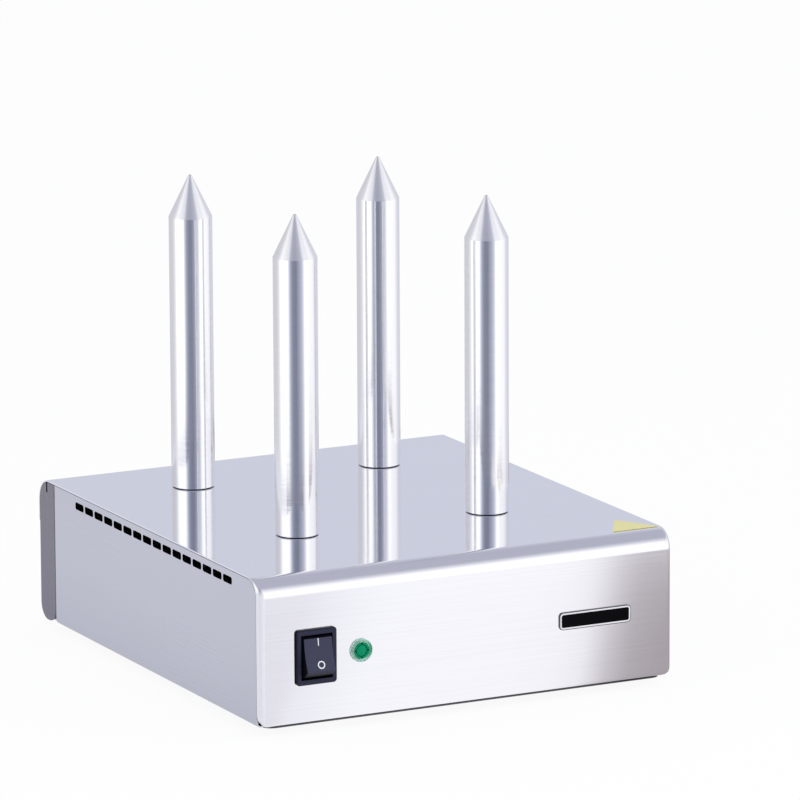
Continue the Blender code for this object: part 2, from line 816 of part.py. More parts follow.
def switch_frame():
    """Bezel and body in one moulding, with the well that the rocker turns in and four terminal slots."""
    bm = bmesh.new()
    sections = []
    for depth, inset in ((0, 0), (bezel_thickness - bezel_edge, 0), (bezel_thickness, bezel_edge)):
        across = bezel_width / 2 - inset
        up = bezel_height / 2 - inset
        bezel = rectangle(-across, -up, across, up, bezel_corner_radius - inset)
        sections.append([place("Y", -fit_gap - depth, x, z) for x, z in bezel])
    loft(bm, sections)
    frame = piece("switch_frame", bm, switch_plastic, (switch_x, front_y, control_height))
    bm = bmesh.new()
    half_body = switch_body_height / 2
    body = rectangle(-switch_body_width / 2, -half_body, switch_body_width / 2, half_body, 0)
    prism(bm, body, -fit_gap - bezel_thickness / 2, switch_body_depth, "Y")
    combine(frame, cutter("switch_body", bm, frame.location), "UNION")
    bm = bmesh.new()
    snap_start = sheet + fit_gap
    for side in (-1, 1):
        wedge = [
            (snap_start, side * (half_body - snap_height)),
            (snap_start, side * (half_body + snap_height)),
            (snap_start + snap_length, side * half_body),
            (snap_start + snap_length, side * (half_body - snap_height)),
        ]
        prism(bm, wedge, -snap_width / 2, snap_width / 2, "X")
    combine(frame, cutter("switch_snaps", bm, frame.location), "UNION")
    bm = bmesh.new()
    well = rectangle(
        -switch_well_width / 2, -switch_well_height / 2, switch_well_width / 2, switch_well_height / 2, 0
    )
    prism(bm, well, -bezel_thickness - cut_margin, switch_well_depth, "Y")
    slot_start = switch_body_depth - terminal_seat - fit_gap
    for x, z in terminal_places.values():
        slot = rectangle(
            x - terminal_width / 2 - fit_gap,
            z - terminal_thickness / 2 - fit_gap,
            x + terminal_width / 2 + fit_gap,
            z + terminal_thickness / 2 + fit_gap,
            0,
        )
        prism(bm, slot, slot_start, switch_body_depth + cut_margin, "Y")
    combine(frame, cutter("switch_hollows", bm, frame.location), "DIFFERENCE")
    bm = bmesh.new()
    bearing = circle(rocker_pivot_depth, 0, axle_radius + fit_gap, small_round)
    past_body = switch_body_width / 2 + cut_margin
    prism(bm, bearing, -past_body, past_body, "X")
    combine(frame, cutter("switch_bearings", bm, frame.location), "DIFFERENCE")
    return frame


def rocker():
    """The rocker's origin is on its axle. It rests pressed in at the top, as when the machine is on. Its ends
    draw in towards the face, as a moulding does to leave its mould."""
    upper = rocker_radius * math.sin(rocker_corner_angle)
    forward = rocker_radius * math.cos(rocker_corner_angle)
    outline = []
    for step in range(rocker_steps + 1):
        share = 2 * step / rocker_steps - 1
        outline.append((-forward + rocker_face_sag * (1 - share * share), -share * upper))
    back_upper = math.sqrt(rocker_radius**2 - rocker_back_depth**2)
    start = math.degrees(rocker_corner_angle)
    end = 180 - math.degrees(math.atan2(back_upper, rocker_back_depth))
    flank = []
    for step in range(1, rocker_steps + 1):
        angle = math.radians(start + (end - start) * step / rocker_steps)
        flank.append((-rocker_radius * math.cos(angle), rocker_radius * math.sin(angle)))
    outline += [(y, -z) for y, z in flank]
    outline += [(y, z) for y, z in reversed(flank)]
    ends = []
    for side in (-1, 1):
        end = []
        for y, z in outline:
            taper = rocker_draft * (rocker_back_depth - y) / (rocker_back_depth + forward)
            end.append((side * (rocker_width / 2 - taper), y, z))
        ends.append(end)
    bm = bmesh.new()
    loft(bm, ends)
    made = piece("rocker", bm, rocker_plastic)
    soften = made.modifiers.new("soft_edges", "BEVEL")
    soften.width = rocker_edge
    soften.segments = 2
    soften.limit_method = "ANGLE"
    soften.angle_limit = bevel_angle
    made.location = (switch_x, front_y + rocker_pivot_depth, control_height)
    made.rotation_euler = (-rocker_tilt, 0, 0)
    bm = bmesh.new()
    prism(bm, circle(0, 0, axle_radius, small_round), -axle_reach, axle_reach, "X")
    combine(made, cutter("rocker_axle", bm, made.location, made.rotation_euler), "UNION")
    return made


def switch_terminal(name, x, z):
    bm = bmesh.new()
    blade = rectangle(
        -terminal_width / 2, -terminal_thickness / 2, terminal_width / 2, terminal_thickness / 2, 0
    )
    prism(bm, blade, 0, terminal_length, "Y")
    y = front_y + switch_body_depth - terminal_seat
    return piece("switch_terminal_" + name, bm, terminal_brass, (switch_x + x, y, control_height + z))


# Lamp


def lamp_lens():
    bm = bmesh.new()
    turned(
        bm,
        [
            (0, lens_dome_height),
            (lens_shoulder_radius, lens_dome_height - lens_shoulder_drop),
            (lens_dome_radius, lens_rim_height),
            (lens_dome_radius, lens_groove_depth),
            (lens_groove_radius, lens_groove_depth),
            (lens_groove_radius, lens_rim_height),
            (lens_radius - lens_groove_depth, lens_rim_height),
            (lens_radius, lens_rim_height - lens_groove_depth),
            (lens_radius, 0),
            (lens_stem_radius, 0),
            (lens_stem_radius, -lens_stem_length),
            (0, -lens_stem_length),
        ],
        middle_round,
    )
    return piece("lamp_lens", bm, lens_green, (lamp_x, front_y - fit_gap, control_height), facing_front)


def lamp_body():
    """A cup that holds the lens's stem and goes back through the front sheet."""
    bm = bmesh.new()
    floor = lamp_floor - lamp_body_length
    turned(
        bm,
        [
            (lamp_bore_radius, 0),
            (lamp_body_radius, 0),
            (lamp_body_radius, -lamp_body_length),
            (0, -lamp_body_length),
            (0, floor),
            (lamp_bore_radius, floor),
            (lamp_bore_radius, 0),
        ],
        middle_round,
    )
    return piece("lamp_body", bm, lamp_plastic, (lamp_x, front_y, control_height), facing_front)


def lamp_clip():
    bm = bmesh.new()
    outer = circle(0, 0, lamp_clip_radius, middle_round)
    inner = circle(0, 0, lamp_body_radius + fit_gap, middle_round)
    tube(bm, outer, inner, 0, lamp_clip_height, "Z")
    back_of_sheet = front_y + sheet + fit_gap
    return piece("lamp_clip", bm, zinc_steel, (lamp_x, back_of_sheet, control_height), facing_rear)


# Name plate and corner patch, both plain


def name_plate():
    bm = bmesh.new()
    outline = rectangle(-plate_width / 2, -plate_height / 2, plate_width / 2, plate_height / 2, plate_edge_radius)
    prism(bm, outline, -glue_gap - plate_thickness, -glue_gap, "Y")
    return piece("name_plate", bm, badge_metal, (plate_x, front_y, plate_z))


def corner_patch():
    half_side = patch_side / 2
    bm = bmesh.new()
    outline = [(-half_side, 0), (half_side, 0), (0, patch_side * math.cos(math.pi / 6))]
    prism(bm, outline, glue_gap, glue_gap + patch_thickness, "Z")
    x = half_width - patch_from_side
    y = front_y + patch_from_front
    return piece("corner_patch", bm, patch_yellow, (x, y, housing_height))


# Cable gland


def gland_body():
    """Hexagon flange outside the rear panel, a threaded stub through it and a neck under the cap."""
    bm = bmesh.new()
    count = nut_round
    bore = circle(0, 0, gland_bore_radius, count)
    tube(bm, hexagon(gland_flats, count), bore, 0, gland_flange_height, "Z")
    location = (gland_x, pan_rear_y + fit_gap, gland_height)
    body = piece("gland_body", bm, black_nylon, location, facing_rear)
    bm = bmesh.new()
    overlap = gland_flange_height / 2
    tube(bm, circle(0, 0, gland_stub_radius, count), bore, -gland_stub_length, overlap, "Z")
    combine(body, cutter("gland_stub", bm, location, facing_rear), "UNION")
    bm = bmesh.new()
    neck_end = gland_flange_height + gland_neck_length
    tube(bm, circle(0, 0, gland_neck_radius, count), bore, overlap + fit_gap, neck_end, "Z")
    combine(body, cutter("gland_neck", bm, location, facing_rear), "UNION")
    return body


def gland_cap():
    bm = bmesh.new()
    cavity = gland_neck_length + fit_gap
    turned(
        bm,
        [
            (gland_neck_radius + fit_gap, 0),
            (gland_cap_radius, 0),
            (gland_cap_radius, gland_cap_length - gland_cap_round),
            (gland_cap_radius - gland_cap_round, gland_cap_length),
            (gland_seal_bore, gland_cap_length),
            (gland_seal_bore, cavity),
            (gland_neck_radius + fit_gap, cavity),
        ],
        nut_round,
    )
    y = pan_rear_y + fit_gap + gland_flange_height + fit_gap
    return piece("gland_cap", bm, black_nylon, (gland_x, y, gland_height), facing_rear)


def gland_seal():
    bm = bmesh.new()
    outer = circle(0, 0, gland_bore_radius - fit_gap, small_round)
    inner = circle(0, 0, gland_seal_bore, small_round)
    tube(bm, outer, inner, -gland_seal_length, 0, "Z")
    y = pan_rear_y + fit_gap + gland_flange_height + gland_neck_length
    return piece("gland_seal", bm, black_rubber, (gland_x, y, gland_height), facing_rear)


def gland_locknut():
    bm = bmesh.new()
    count = nut_round
    outer = hexagon(gland_flats, count)
    inner = circle(0, 0, gland_stub_radius + fit_gap, count)
    tube(bm, outer, inner, -gland_nut_height, 0, "Z")
    y = pan_rear_y - sheet - fit_gap
    return piece("gland_locknut", bm, black_nylon, (gland_x, y, gland_height), facing_rear)


# Fasteners and feet


def screw(name, head_radius, head_height, shaft_radius, length, location, rotation):
    """A pan head below a shaft that rises along Z from the head's seat."""
    crown = head_height * screw_crown_share
    bm = bmesh.new()
    turned(
        bm,
        [
            (0, length),
            (shaft_radius, length),
            (shaft_radius, 0),
            (head_radius, 0),
            (head_radius, crown - head_height),
            (head_radius - crown, -head_height),
            (0, -head_height),
        ],
        small_round,
    )
    return piece(name, bm, zinc_steel, location, rotation)


def small_nut(name, x, y):
    bm = bmesh.new()
    count = nut_round
    outer = hexagon(small_nut_flats, count)
    inner = circle(0, 0, foot_screw_shaft_radius + fit_gap, count)
    tube(bm, outer, inner, 0, small_nut_height, "Z")
    return piece(name, bm, zinc_steel, (x, y, plate_top + fit_gap))


def foot(name, x, y):
    """Rubber foot with a recess below for the head of its screw."""
    top = plate_bottom - fit_gap + ground_clearance
    hole = foot_screw_shaft_radius + fit_gap
    bm = bmesh.new()
    turned(
        bm,
        [
            (hole, top),
            (foot_top_radius, top),
            (foot_base_radius + foot_edge, foot_edge),
            (foot_base_radius, 0),
            (foot_recess_radius, 0),
            (foot_recess_radius, foot_recess_depth),
            (hole, foot_recess_depth),
        ],
        small_round,
    )
    return piece("foot_" + name, bm, black_rubber, (x, y, -ground_clearance))


def foot_screw(name, x, y):
    seat = foot_recess_depth - fit_gap - ground_clearance
    reach = small_nut_height + fit_gap - seat
    return screw(
        "foot_screw_" + name,
        foot_screw_head_radius,
        foot_screw_head_height,
        foot_screw_shaft_radius,
        reach,
        (x, y, seat),
        (0, 0, 0),
    )


def panel_screw(name, location, rotation):
    return screw(
        name, screw_head_radius, screw_head_height, screw_shaft_radius, screw_length, location, rotation
    )


def earth_stud():
    return screw(
        "earth_stud",
        foot_screw_head_radius,
        foot_screw_head_height,
        foot_screw_shaft_radius,
        earth_stud_height,
        (earth_stud_x, earth_stud_y, plate_bottom - fit_gap),
        (0, 0, 0),
    )


def terminal_block():
    """Screw wells go down from above into the wire holes that run through from front to rear."""
    bm = bmesh.new()
    half_block = block_width / 2
    outline = rectangle(-half_block, 0, half_block, block_height, block_edge, slot_corner_steps)
    prism(bm, outline, -block_depth / 2, block_depth / 2, "Y")
    location = (block_x, block_y, plate_top + fit_gap)
    block = piece("terminal_block", bm, block_ceramic, location)
    wells = bmesh.new()
    wires = bmesh.new()
    for index in range(block_ways):
        x = (index - (block_ways - 1) / 2) * block_pitch
        for y in (-block_row_spacing / 2, block_row_spacing / 2):
            well = circle(x, y, block_well_radius, small_round)
            prism(wells, well, block_wire_height, block_height + cut_margin, "Z")
        wire = circle(x, block_wire_height, block_wire_radius, small_round)
        prism(wires, wire, -block_depth / 2 - cut_margin, block_depth / 2 + cut_margin, "Y")
    combine(block, cutter("block_wells", wells, location), "DIFFERENCE")
    combine(block, cutter("block_wires", wires, location), "DIFFERENCE")
    return block


# Assembly

housing_shell()
side_panel("left_side_panel", -1)
side_panel("right_side_panel", 1)
rear_panel()
bottom_plate()
for corner_name, (corner_x, corner_y) in spike_places.items():
    spike(corner_name, corner_x, corner_y)
    heater(corner_name, corner_x, corner_y)
    spike_washer(corner_name, corner_x, corner_y)
    spike_nut(corner_name, corner_x, corner_y)
switch_frame()
rocker()
for terminal_name, (terminal_x, terminal_z) in terminal_places.items():
    switch_terminal(terminal_name, terminal_x, terminal_z)
lamp_lens()
lamp_body()
lamp_clip()
name_plate()
corner_patch()
gland_body()
gland_cap()
gland_seal()
gland_locknut()
for corner_name, (corner_x, corner_y) in foot_places.items():
    foot(corner_name, corner_x, corner_y)
    foot_screw(corner_name, corner_x, corner_y)
    small_nut("foot_nut_" + corner_name, corner_x, corner_y)
for corner_name, (corner_x, corner_y) in lip_screw_places.items():
    panel_screw("plate_screw_" + corner_name, (corner_x, corner_y, plate_bottom - fit_gap), (0, 0, 0))
for screw_name, (screw_x, screw_z) in rear_screw_places.items():
    panel_screw("rear_screw_" + screw_name, (screw_x, rear_y + fit_gap, screw_z), facing_front)
earth_stud()
small_nut("earth_nut", earth_stud_x, earth_stud_y)
terminal_block()
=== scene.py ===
# %% [markdown]
# # A hot dog spike machine, dressed for its picture
#
# The machine is a low stainless box that stands on four rubber feet. Four heated aluminium spikes rise from
# its polished top, and a rocker switch, a green lamp and a bare plate sit on its brushed front.
#
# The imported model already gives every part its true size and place, so this script only adds what makes it
# look real: the finishes, the small moulded and turned detail, the light and the camera.

# %% Load the machine
import math

import bpy
from mathutils import Matrix, Vector


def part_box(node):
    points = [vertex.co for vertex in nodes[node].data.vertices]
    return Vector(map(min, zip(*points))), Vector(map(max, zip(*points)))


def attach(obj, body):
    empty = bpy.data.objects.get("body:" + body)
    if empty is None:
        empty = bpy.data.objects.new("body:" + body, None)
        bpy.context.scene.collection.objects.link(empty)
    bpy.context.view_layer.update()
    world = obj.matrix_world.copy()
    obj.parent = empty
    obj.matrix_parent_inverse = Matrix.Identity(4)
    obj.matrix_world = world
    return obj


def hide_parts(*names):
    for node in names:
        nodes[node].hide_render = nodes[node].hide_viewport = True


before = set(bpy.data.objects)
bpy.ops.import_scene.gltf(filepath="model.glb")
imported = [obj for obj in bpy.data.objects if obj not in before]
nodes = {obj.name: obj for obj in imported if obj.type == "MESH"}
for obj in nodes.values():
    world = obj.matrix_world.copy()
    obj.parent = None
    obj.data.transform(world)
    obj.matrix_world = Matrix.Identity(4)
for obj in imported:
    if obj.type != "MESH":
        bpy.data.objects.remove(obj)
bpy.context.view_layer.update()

# %% [markdown]
# ## Places on the machine
#
# Everything below is placed from the parts themselves. A part's box gives its lowest and highest corners, and
# from those come the front face, the top and the middle of each part. Reading places this way keeps each new
# piece on what carries it, even if the machine changes.

# %% Measure the parts
MM = 0.001


def middle(name):
    low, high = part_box(name)
    return (low + high) / 2


def size(name):
    low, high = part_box(name)
    return high - low


shell_low, shell_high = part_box("housing_shell")
front_y = shell_low.y
top_z = shell_high.z
half_width = shell_high.x
housing_middle = Vector((0, (shell_low.y + shell_high.y) / 2, shell_low.z))
print("front face at y =", round(front_y, 4), "and top at z =", round(top_z, 4))

# %% [markdown]
# ## The camera
#
# The picture was taken from the front left, a little above the top, with a long lens from about four
# metres. A long lens keeps upright edges parallel. Aiming the camera by its three own axes, right, up and
# back, leaves no doubt about its roll, which a tracking constraint would hide.

# %% Place the camera
CAMERA_AZIMUTH = math.radians(26.77)
CAMERA_ELEVATION = math.radians(12.30)
CAMERA_ROLL = math.radians(-0.29)
CAMERA_DISTANCE = 4.12725
CAMERA_SHIFT_RIGHT = 0.027435
CAMERA_SHIFT_UP = 0.136653
LENS_LENGTH = 332.3
SENSOR_WIDTH = 36
SEES_AS_FAR_AS = 50

camera_back = Vector(
    (
        -math.sin(CAMERA_AZIMUTH) * math.cos(CAMERA_ELEVATION),
        -math.cos(CAMERA_AZIMUTH) * math.cos(CAMERA_ELEVATION),
        math.sin(CAMERA_ELEVATION),
    )
)
level_right = Vector((math.cos(CAMERA_AZIMUTH), -math.sin(CAMERA_AZIMUTH), 0))
level_up = camera_back.cross(level_right)
camera_right = level_right * math.cos(CAMERA_ROLL) + level_up * math.sin(CAMERA_ROLL)
camera_up = level_up * math.cos(CAMERA_ROLL) - level_right * math.sin(CAMERA_ROLL)

camera_data = bpy.data.cameras.new("camera")
camera_data.lens = LENS_LENGTH
camera_data.sensor_width = SENSOR_WIDTH
camera_data.clip_end = SEES_AS_FAR_AS
camera = bpy.data.objects.new("camera", camera_data)
camera.matrix_world = Matrix.Translation(
    housing_middle
    + camera_back * CAMERA_DISTANCE
    + camera_right * CAMERA_SHIFT_RIGHT
    + camera_up * CAMERA_SHIFT_UP
) @ Matrix((camera_right, camera_up, camera_back)).transposed().to_4x4()
bpy.context.scene.collection.objects.link(camera)
bpy.context.scene.camera = camera
bpy.context.scene.view_settings.view_transform = "Standard"
print("camera at", [round(value, 3) for value in camera.matrix_world.translation])

# %% [markdown]
# ## Nodes without clutter
#
# A material is a small network of nodes. These helpers add a node, set its values and join it to the next,
# so that each finish below reads from top to bottom like a recipe. Wherever a helper takes a value, it takes
# a number, a colour or another node's output.


# %% Helpers for nodes
NOISE_LOW = 0.3
NOISE_HIGH = 0.7


def add(tree, kind, **settings):
    node = tree.nodes.new(kind)
    for name, value in settings.items():
        setattr(node, name, value)
    return node


def feed(tree, target, value):
    if isinstance(value, bpy.types.NodeSocket):
        tree.links.new(value, target)
    elif isinstance(value, tuple):
        target.default_value = (*value, 1)
    else:
        target.default_value = value


def calculate(tree, operation, *values):
    """The result of one sum."""
    step = add(tree, "ShaderNodeMath", operation=operation)
    for target, value in zip(step.inputs, values):
        feed(tree, target, value)
    return step.outputs["Value"]


def remap(tree, value, low, high, start=NOISE_LOW, end=NOISE_HIGH):
    """Runs from low to high while the value goes from start to end."""
    step = add(tree, "ShaderNodeMapRange")
    step.inputs["From Min"].default_value = start
    step.inputs["From Max"].default_value = end
    step.inputs["To Min"].default_value = low
    step.inputs["To Max"].default_value = high
    tree.links.new(value, step.inputs["Value"])
    return step.outputs["Result"]


def tone_ramp(tree, value, tones):
    """A ramp through the tones, each a place between 0 and 1 and a colour."""
    ramp = add(tree, "ShaderNodeValToRGB")
    while len(ramp.color_ramp.elements) < len(tones):
        ramp.color_ramp.elements.new(0.5)
    for element, (place, colour) in zip(ramp.color_ramp.elements, tones):
        element.position = place
        element.color = (*colour, 1)
    tree.links.new(value, ramp.inputs["Fac"])
    return ramp.outputs["Color"]


def mix(tree, share, first, second, kind="RGBA"):
    """The first where the share is 0, and the second where it is 1."""
    mixed = add(tree, "ShaderNodeMix", data_type=kind)
    feed(tree, mixed.inputs["Factor"], share)
    feed(tree, mixed.inputs["A"], first)
    feed(tree, mixed.inputs["B"], second)
    return mixed.outputs["Result"]


def mix_light(tree, share, first, second):
    """The same for two shaders."""
    mixed = add(tree, "ShaderNodeMixShader")
    for target, value in zip(mixed.inputs, (share, first, second)):
        tree.links.new(value, target)
    return mixed.outputs["Shader"]


def axes_of(tree, vector):
    """The X, Y and Z of a vector, by name."""
    split = add(tree, "ShaderNodeSeparateXYZ")
    tree.links.new(vector, split.inputs["Vector"])
    return split.outputs


def place_axes(tree):
    return axes_of(tree, add(tree, "ShaderNodeTexCoord").outputs["Object"])


def facing_axes(tree):
    return axes_of(tree, add(tree, "ShaderNodeNewGeometry").outputs["Normal"])


# %% Helpers for finishes
def start_material(name, colour, roughness, metallic=0.0):
    made = bpy.data.materials.new(name)
    made.use_nodes = True
    made.diffuse_color = (*colour, 1)
    tree = made.node_tree
    shader = tree.nodes["Principled BSDF"]
    shader.inputs["Base Color"].default_value = (*colour, 1)
    shader.inputs["Roughness"].default_value = roughness
    shader.inputs["Metallic"].default_value = metallic
    return made, tree, shader


def stretched_noise(tree, scale, detail):
    """Noise on the part's own coordinates, stretched by unlike scales along X, Y and Z."""
    where = add(tree, "ShaderNodeTexCoord")
    stretch = add(tree, "ShaderNodeMapping")
    stretch.inputs["Scale"].default_value = scale
    noise = add(tree, "ShaderNodeTexNoise")
    noise.inputs["Scale"].default_value = 1
    noise.inputs["Detail"].default_value = detail
    tree.links.new(where.outputs["Object"], stretch.inputs["Vector"])
    tree.links.new(stretch.outputs["Vector"], noise.inputs["Vector"])
    return noise.outputs["Fac"]


def speckle(tree, shader, noise, colour, spread):
    """Varies a colour with a noise, by this much up and down."""
    dark = tuple(value * (1 - spread) for value in colour)
    light = tuple(min(1, value * (1 + spread)) for value in colour)
    tone = tone_ramp(tree, noise, [(NOISE_LOW, dark), (NOISE_HIGH, light)])
    tree.links.new(tone, shader.inputs["Base Color"])


def relief(tree, shader, height, depth, strength):
    """Lets the light see a relief of this depth in millimetres, with no change to the mesh."""
    bump = add(tree, "ShaderNodeBump")
    bump.inputs["Distance"].default_value = depth * MM
    bump.inputs["Strength"].default_value = strength
    tree.links.new(height, bump.inputs["Height"])
    tree.links.new(bump.outputs["Normal"], shader.inputs["Normal"])


def tone_over(finish, share, colour):
    """Lays a plain colour over a finish's own one, by this share."""
    tree = finish.node_tree
    base = tree.nodes["Principled BSDF"].inputs["Base Color"]
    tree.links.new(mix(tree, share, base.links[0].from_socket, colour), base)


# %% [markdown]
# ## Brushed and turned metal
#
# Steel sheet is brushed in one direction, and a turned bar carries fine rings from the lathe. Both blur what
# they mirror across the lines and keep it sharp along them. The shader's anisotropy does that blur, and its
# tangent says which way it runs. On the shell the way across the lines turns with each bend, so there the
# tangent runs along the lines and is given a quarter turn. Long thin noise adds the lines themselves, and a
# broad noise keeps a big sheet from looking like one flat tone.

# %% Brushed metal
LINE_DEPTH = 0.02
LINE_DETAIL = 6
LINE_TONE = 0.02
CLOUD_SCALE = (11, 11, 11)
CLOUD_DETAIL = 2
UPRIGHT = (0, 0, 1)
ALONG_X = (1, 0, 0)
QUARTER_TURN = 0.25


def brushed_metal(
    name, colour, roughness, anisotropy, line_scale, strength=0.35, spread=0.05, tangent=UPRIGHT, turn=0
):
    made, tree, shader = start_material(name, colour, roughness, 1)
    lines = stretched_noise(tree, line_scale, LINE_DETAIL)
    clouds = stretched_noise(tree, CLOUD_SCALE, CLOUD_DETAIL)
    by_line = remap(tree, lines, -spread, spread)
    by_cloud = remap(tree, clouds, roughness - spread / 2, roughness + spread / 2)
    tree.links.new(calculate(tree, "ADD", by_line, by_cloud), shader.inputs["Roughness"])
    speckle(tree, shader, lines, colour, LINE_TONE)
    relief(tree, shader, lines, LINE_DEPTH, strength)
    shader.inputs["Anisotropic"].default_value = anisotropy
    shader.inputs["Anisotropic Rotation"].default_value = turn
    way = add(tree, "ShaderNodeCombineXYZ")
    for axis, value in zip("XYZ", tangent):
        way.inputs[axis].default_value = value
    tree.links.new(way.outputs["Vector"], shader.inputs["Tangent"])
    return made


shell_finish = brushed_metal(
    "shell_steel", (0.86, 0.86, 0.90), 0.13, 0.9, (8, 3200, 3200), 0.06, 0.01, ALONG_X, QUARTER_TURN
)
side_finish = brushed_metal("side_steel", (0.66, 0.67, 0.72), 0.30, 0.6, (2600, 8, 2600), 0.15, 0.03)
rear_finish = brushed_metal("rear_steel", (0.262, 0.248, 0.282), 0.34, 0.6, (2000, 8, 2000), 0.2)
spike_finish = brushed_metal("spike_aluminium", (0.90, 0.90, 0.92), 0.11, 0.9, (40, 40, 2500), 0.2)
zinc_finish = brushed_metal("zinc_steel", (0.60, 0.60, 0.61), 0.38, 0.2, (700, 700, 700))
plate_finish = brushed_metal("plate_steel", (0.10, 0.10, 0.11), 0.45, 0.2, (500, 500, 500))
heater_finish = brushed_metal("heater_steel", (0.50, 0.49, 0.47), 0.35, 0.5, (40, 40, 1500))
brass_finish = brushed_metal("terminal_brass", (0.78, 0.60, 0.28), 0.32, 0.3, (900, 900, 900))
print("brushed metals ready")

# %% [markdown]
# ## A top that is polished more than the front
#
# The spikes show in the top as in a mirror, while the front only glows softly. On the real sheet the top is
# polished and the front is left satin. Height on the machine tells the two apart, so the roughness falls
# from the satin value to half of it over the last few millimetres of the front bend.

# %% Polish the top
POLISHED_SHARE = 0.50
SATIN_BELOW = top_z - 9 * MM
POLISHED_ABOVE = top_z - 1 * MM

shell_tree = shell_finish.node_tree
shell_shader = shell_tree.nodes["Principled BSDF"]
shell_axes = place_axes(shell_tree)
satin = shell_shader.inputs["Roughness"].links[0].from_socket
polish = remap(shell_tree, shell_axes["Z"], 1, POLISHED_SHARE, SATIN_BELOW, POLISHED_ABOVE)
polished = calculate(shell_tree, "MULTIPLY", satin, polish)
print("polished above z =", round(POLISHED_ABOVE, 4))

# %% [markdown]
# ## A ground left edge
#
# The front's left edge is rolled back to the side and then ground by hand, so it is matt and pale and hardly
# mirrors. Place on the machine tells it apart too: over the last few millimetres before the side, below the
# front bend, the surface loses its mirror and gets rough.

# %% Grind the rolled edge
GROUND_ROUGHNESS = 0.55
GROUND_METAL = 0.2
GROUND_UP_TO = 2.8 * MM - half_width
MIRROR_FROM = 3.8 * MM - half_width
GROUND_BELOW = top_z - 8.5 * MM
MIRROR_ABOVE = top_z - 5 * MM

at_edge = remap(shell_tree, shell_axes["X"], 1, 0, GROUND_UP_TO, MIRROR_FROM)
on_front = remap(shell_tree, shell_axes["Z"], 1, 0, GROUND_BELOW, MIRROR_ABOVE)
ground = calculate(shell_tree, "MULTIPLY", at_edge, on_front)
edge_roughness = mix(shell_tree, ground, polished, GROUND_ROUGHNESS, "FLOAT")
shell_tree.links.new(edge_roughness, shell_shader.inputs["Roughness"])
edge_metal = remap(shell_tree, ground, 1, GROUND_METAL, 0, 1)
shell_tree.links.new(edge_metal, shell_shader.inputs["Metallic"])
print("ground up to x =", round(GROUND_UP_TO, 4))

# %% [markdown]
# ## Slots seen in shadow
#
# The walls of the punched slots face up, down, forwards and back, away from the light, so they lie in shade.
# In the row of slots that shade is painted into the side's colour wherever the surface doesn't face straight
# out.

# %% Darken the slot walls
SLOT_ROW_HEIGHT = top_z - 6.7 * MM
SLOT_ROW_REACH = 2.6 * MM
SLOT_SHADOW = (0.015, 0.015, 0.02)
DARK_UP_TO = 0.5
BRIGHT_FROM = 0.9

side_tree = side_finish.node_tree
in_row = calculate(side_tree, "COMPARE", place_axes(side_tree)["Z"], SLOT_ROW_HEIGHT, SLOT_ROW_REACH)
facing_out = calculate(side_tree, "ABSOLUTE", facing_axes(side_tree)["X"])
turned_away = remap(side_tree, facing_out, 1, 0, DARK_UP_TO, BRIGHT_FROM)
# The slot walls get a painted shade laid over the side's colour, not a colour of their own.
tone_over(side_finish, calculate(side_tree, "MULTIPLY", turned_away, in_row), SLOT_SHADOW)
print("slots darkened around z =", round(SLOT_ROW_HEIGHT, 4))

# %% [markdown]
# ## Moulded plastic, rubber and ceramic
#
# Moulded parts carry the fine grain of their mould. A small noise in the relief and in the roughness gives
# that grain, and it breaks up the highlight along each edge. Paint and pressed badges get it too.

# %% Moulded finishes
GRAIN_DETAIL = 4
GRAIN_ROUGHNESS = 0.05
GRAIN_TONE = 0.1
GRAIN_STRENGTH = 0.4


def moulded(name, colour, roughness, grain, depth, specular=0.5):
    made, tree, shader = start_material(name, colour, roughness)
    shader.inputs["Specular IOR Level"].default_value = specular
    noise = stretched_noise(tree, (grain, grain, grain), GRAIN_DETAIL)
    grainy = remap(tree, noise, roughness - GRAIN_ROUGHNESS, roughness + GRAIN_ROUGHNESS)
    tree.links.new(grainy, shader.inputs["Roughness"])
    speckle(tree, shader, noise, colour, GRAIN_TONE)
    relief(tree, shader, noise, depth, GRAIN_STRENGTH)
    return made


switch_finish = moulded("switch_plastic", (0.030, 0.032, 0.060), 0.34, 2200, 0.02, 0.08)
rocker_finish = moulded("rocker_plastic", (0.052, 0.054, 0.092), 0.36, 2200, 0.02, 0.08)
mark_finish = moulded("mark_white", (0.85, 0.86, 0.88), 0.45, 2600, 0.01)
lamp_finish = moulded("lamp_plastic", (0.80, 0.80, 0.78), 0.40, 1500, 0.02)
nylon_finish = moulded("black_nylon", (0.020, 0.020, 0.022), 0.45, 1800, 0.03)
rubber_finish = moulded("black_rubber", (0.025, 0.025, 0.025), 0.75, 1600, 0.04)
ceramic_finish = moulded("block_ceramic", (0.80, 0.78, 0.72), 0.40, 900, 0.03)
patch_finish = moulded("patch_yellow", (0.82, 0.77, 0.34), 0.45, 1200, 0.01)
badge_finish = moulded("badge_black", (0.002, 0.002, 0.003), 0.35, 1500, 0.01, 0.04)
rim_finish = moulded("badge_rim", (0.80, 0.80, 0.82), 0.30, 1500, 0.01)
edge_finish = moulded("badge_edge", (0.10, 0.10, 0.11), 0.40, 1500, 0.01, 0.2)
lens_finish = moulded("lens_green", (0.001, 0.27, 0.125), 0.16, 600, 0.01, 0.08)
flange_finish = moulded("lens_pale_green", (0.60, 0.90, 0.77), 0.10, 600, 0.01)
print("moulded finishes ready")

# %% [markdown]
# ## Dark sides on the switch
#
# Only the faces that the switch turns to the front catch the light. The sides of the frame and of the rocker
# lie in each other's shadow, so both finishes are darkened by the way the surface faces.

# %% Darken the switch's sides
SWITCH_SHADOW = (0.003, 0.003, 0.006)
FACES_FRONT = -0.86
FACES_ASIDE = -0.60

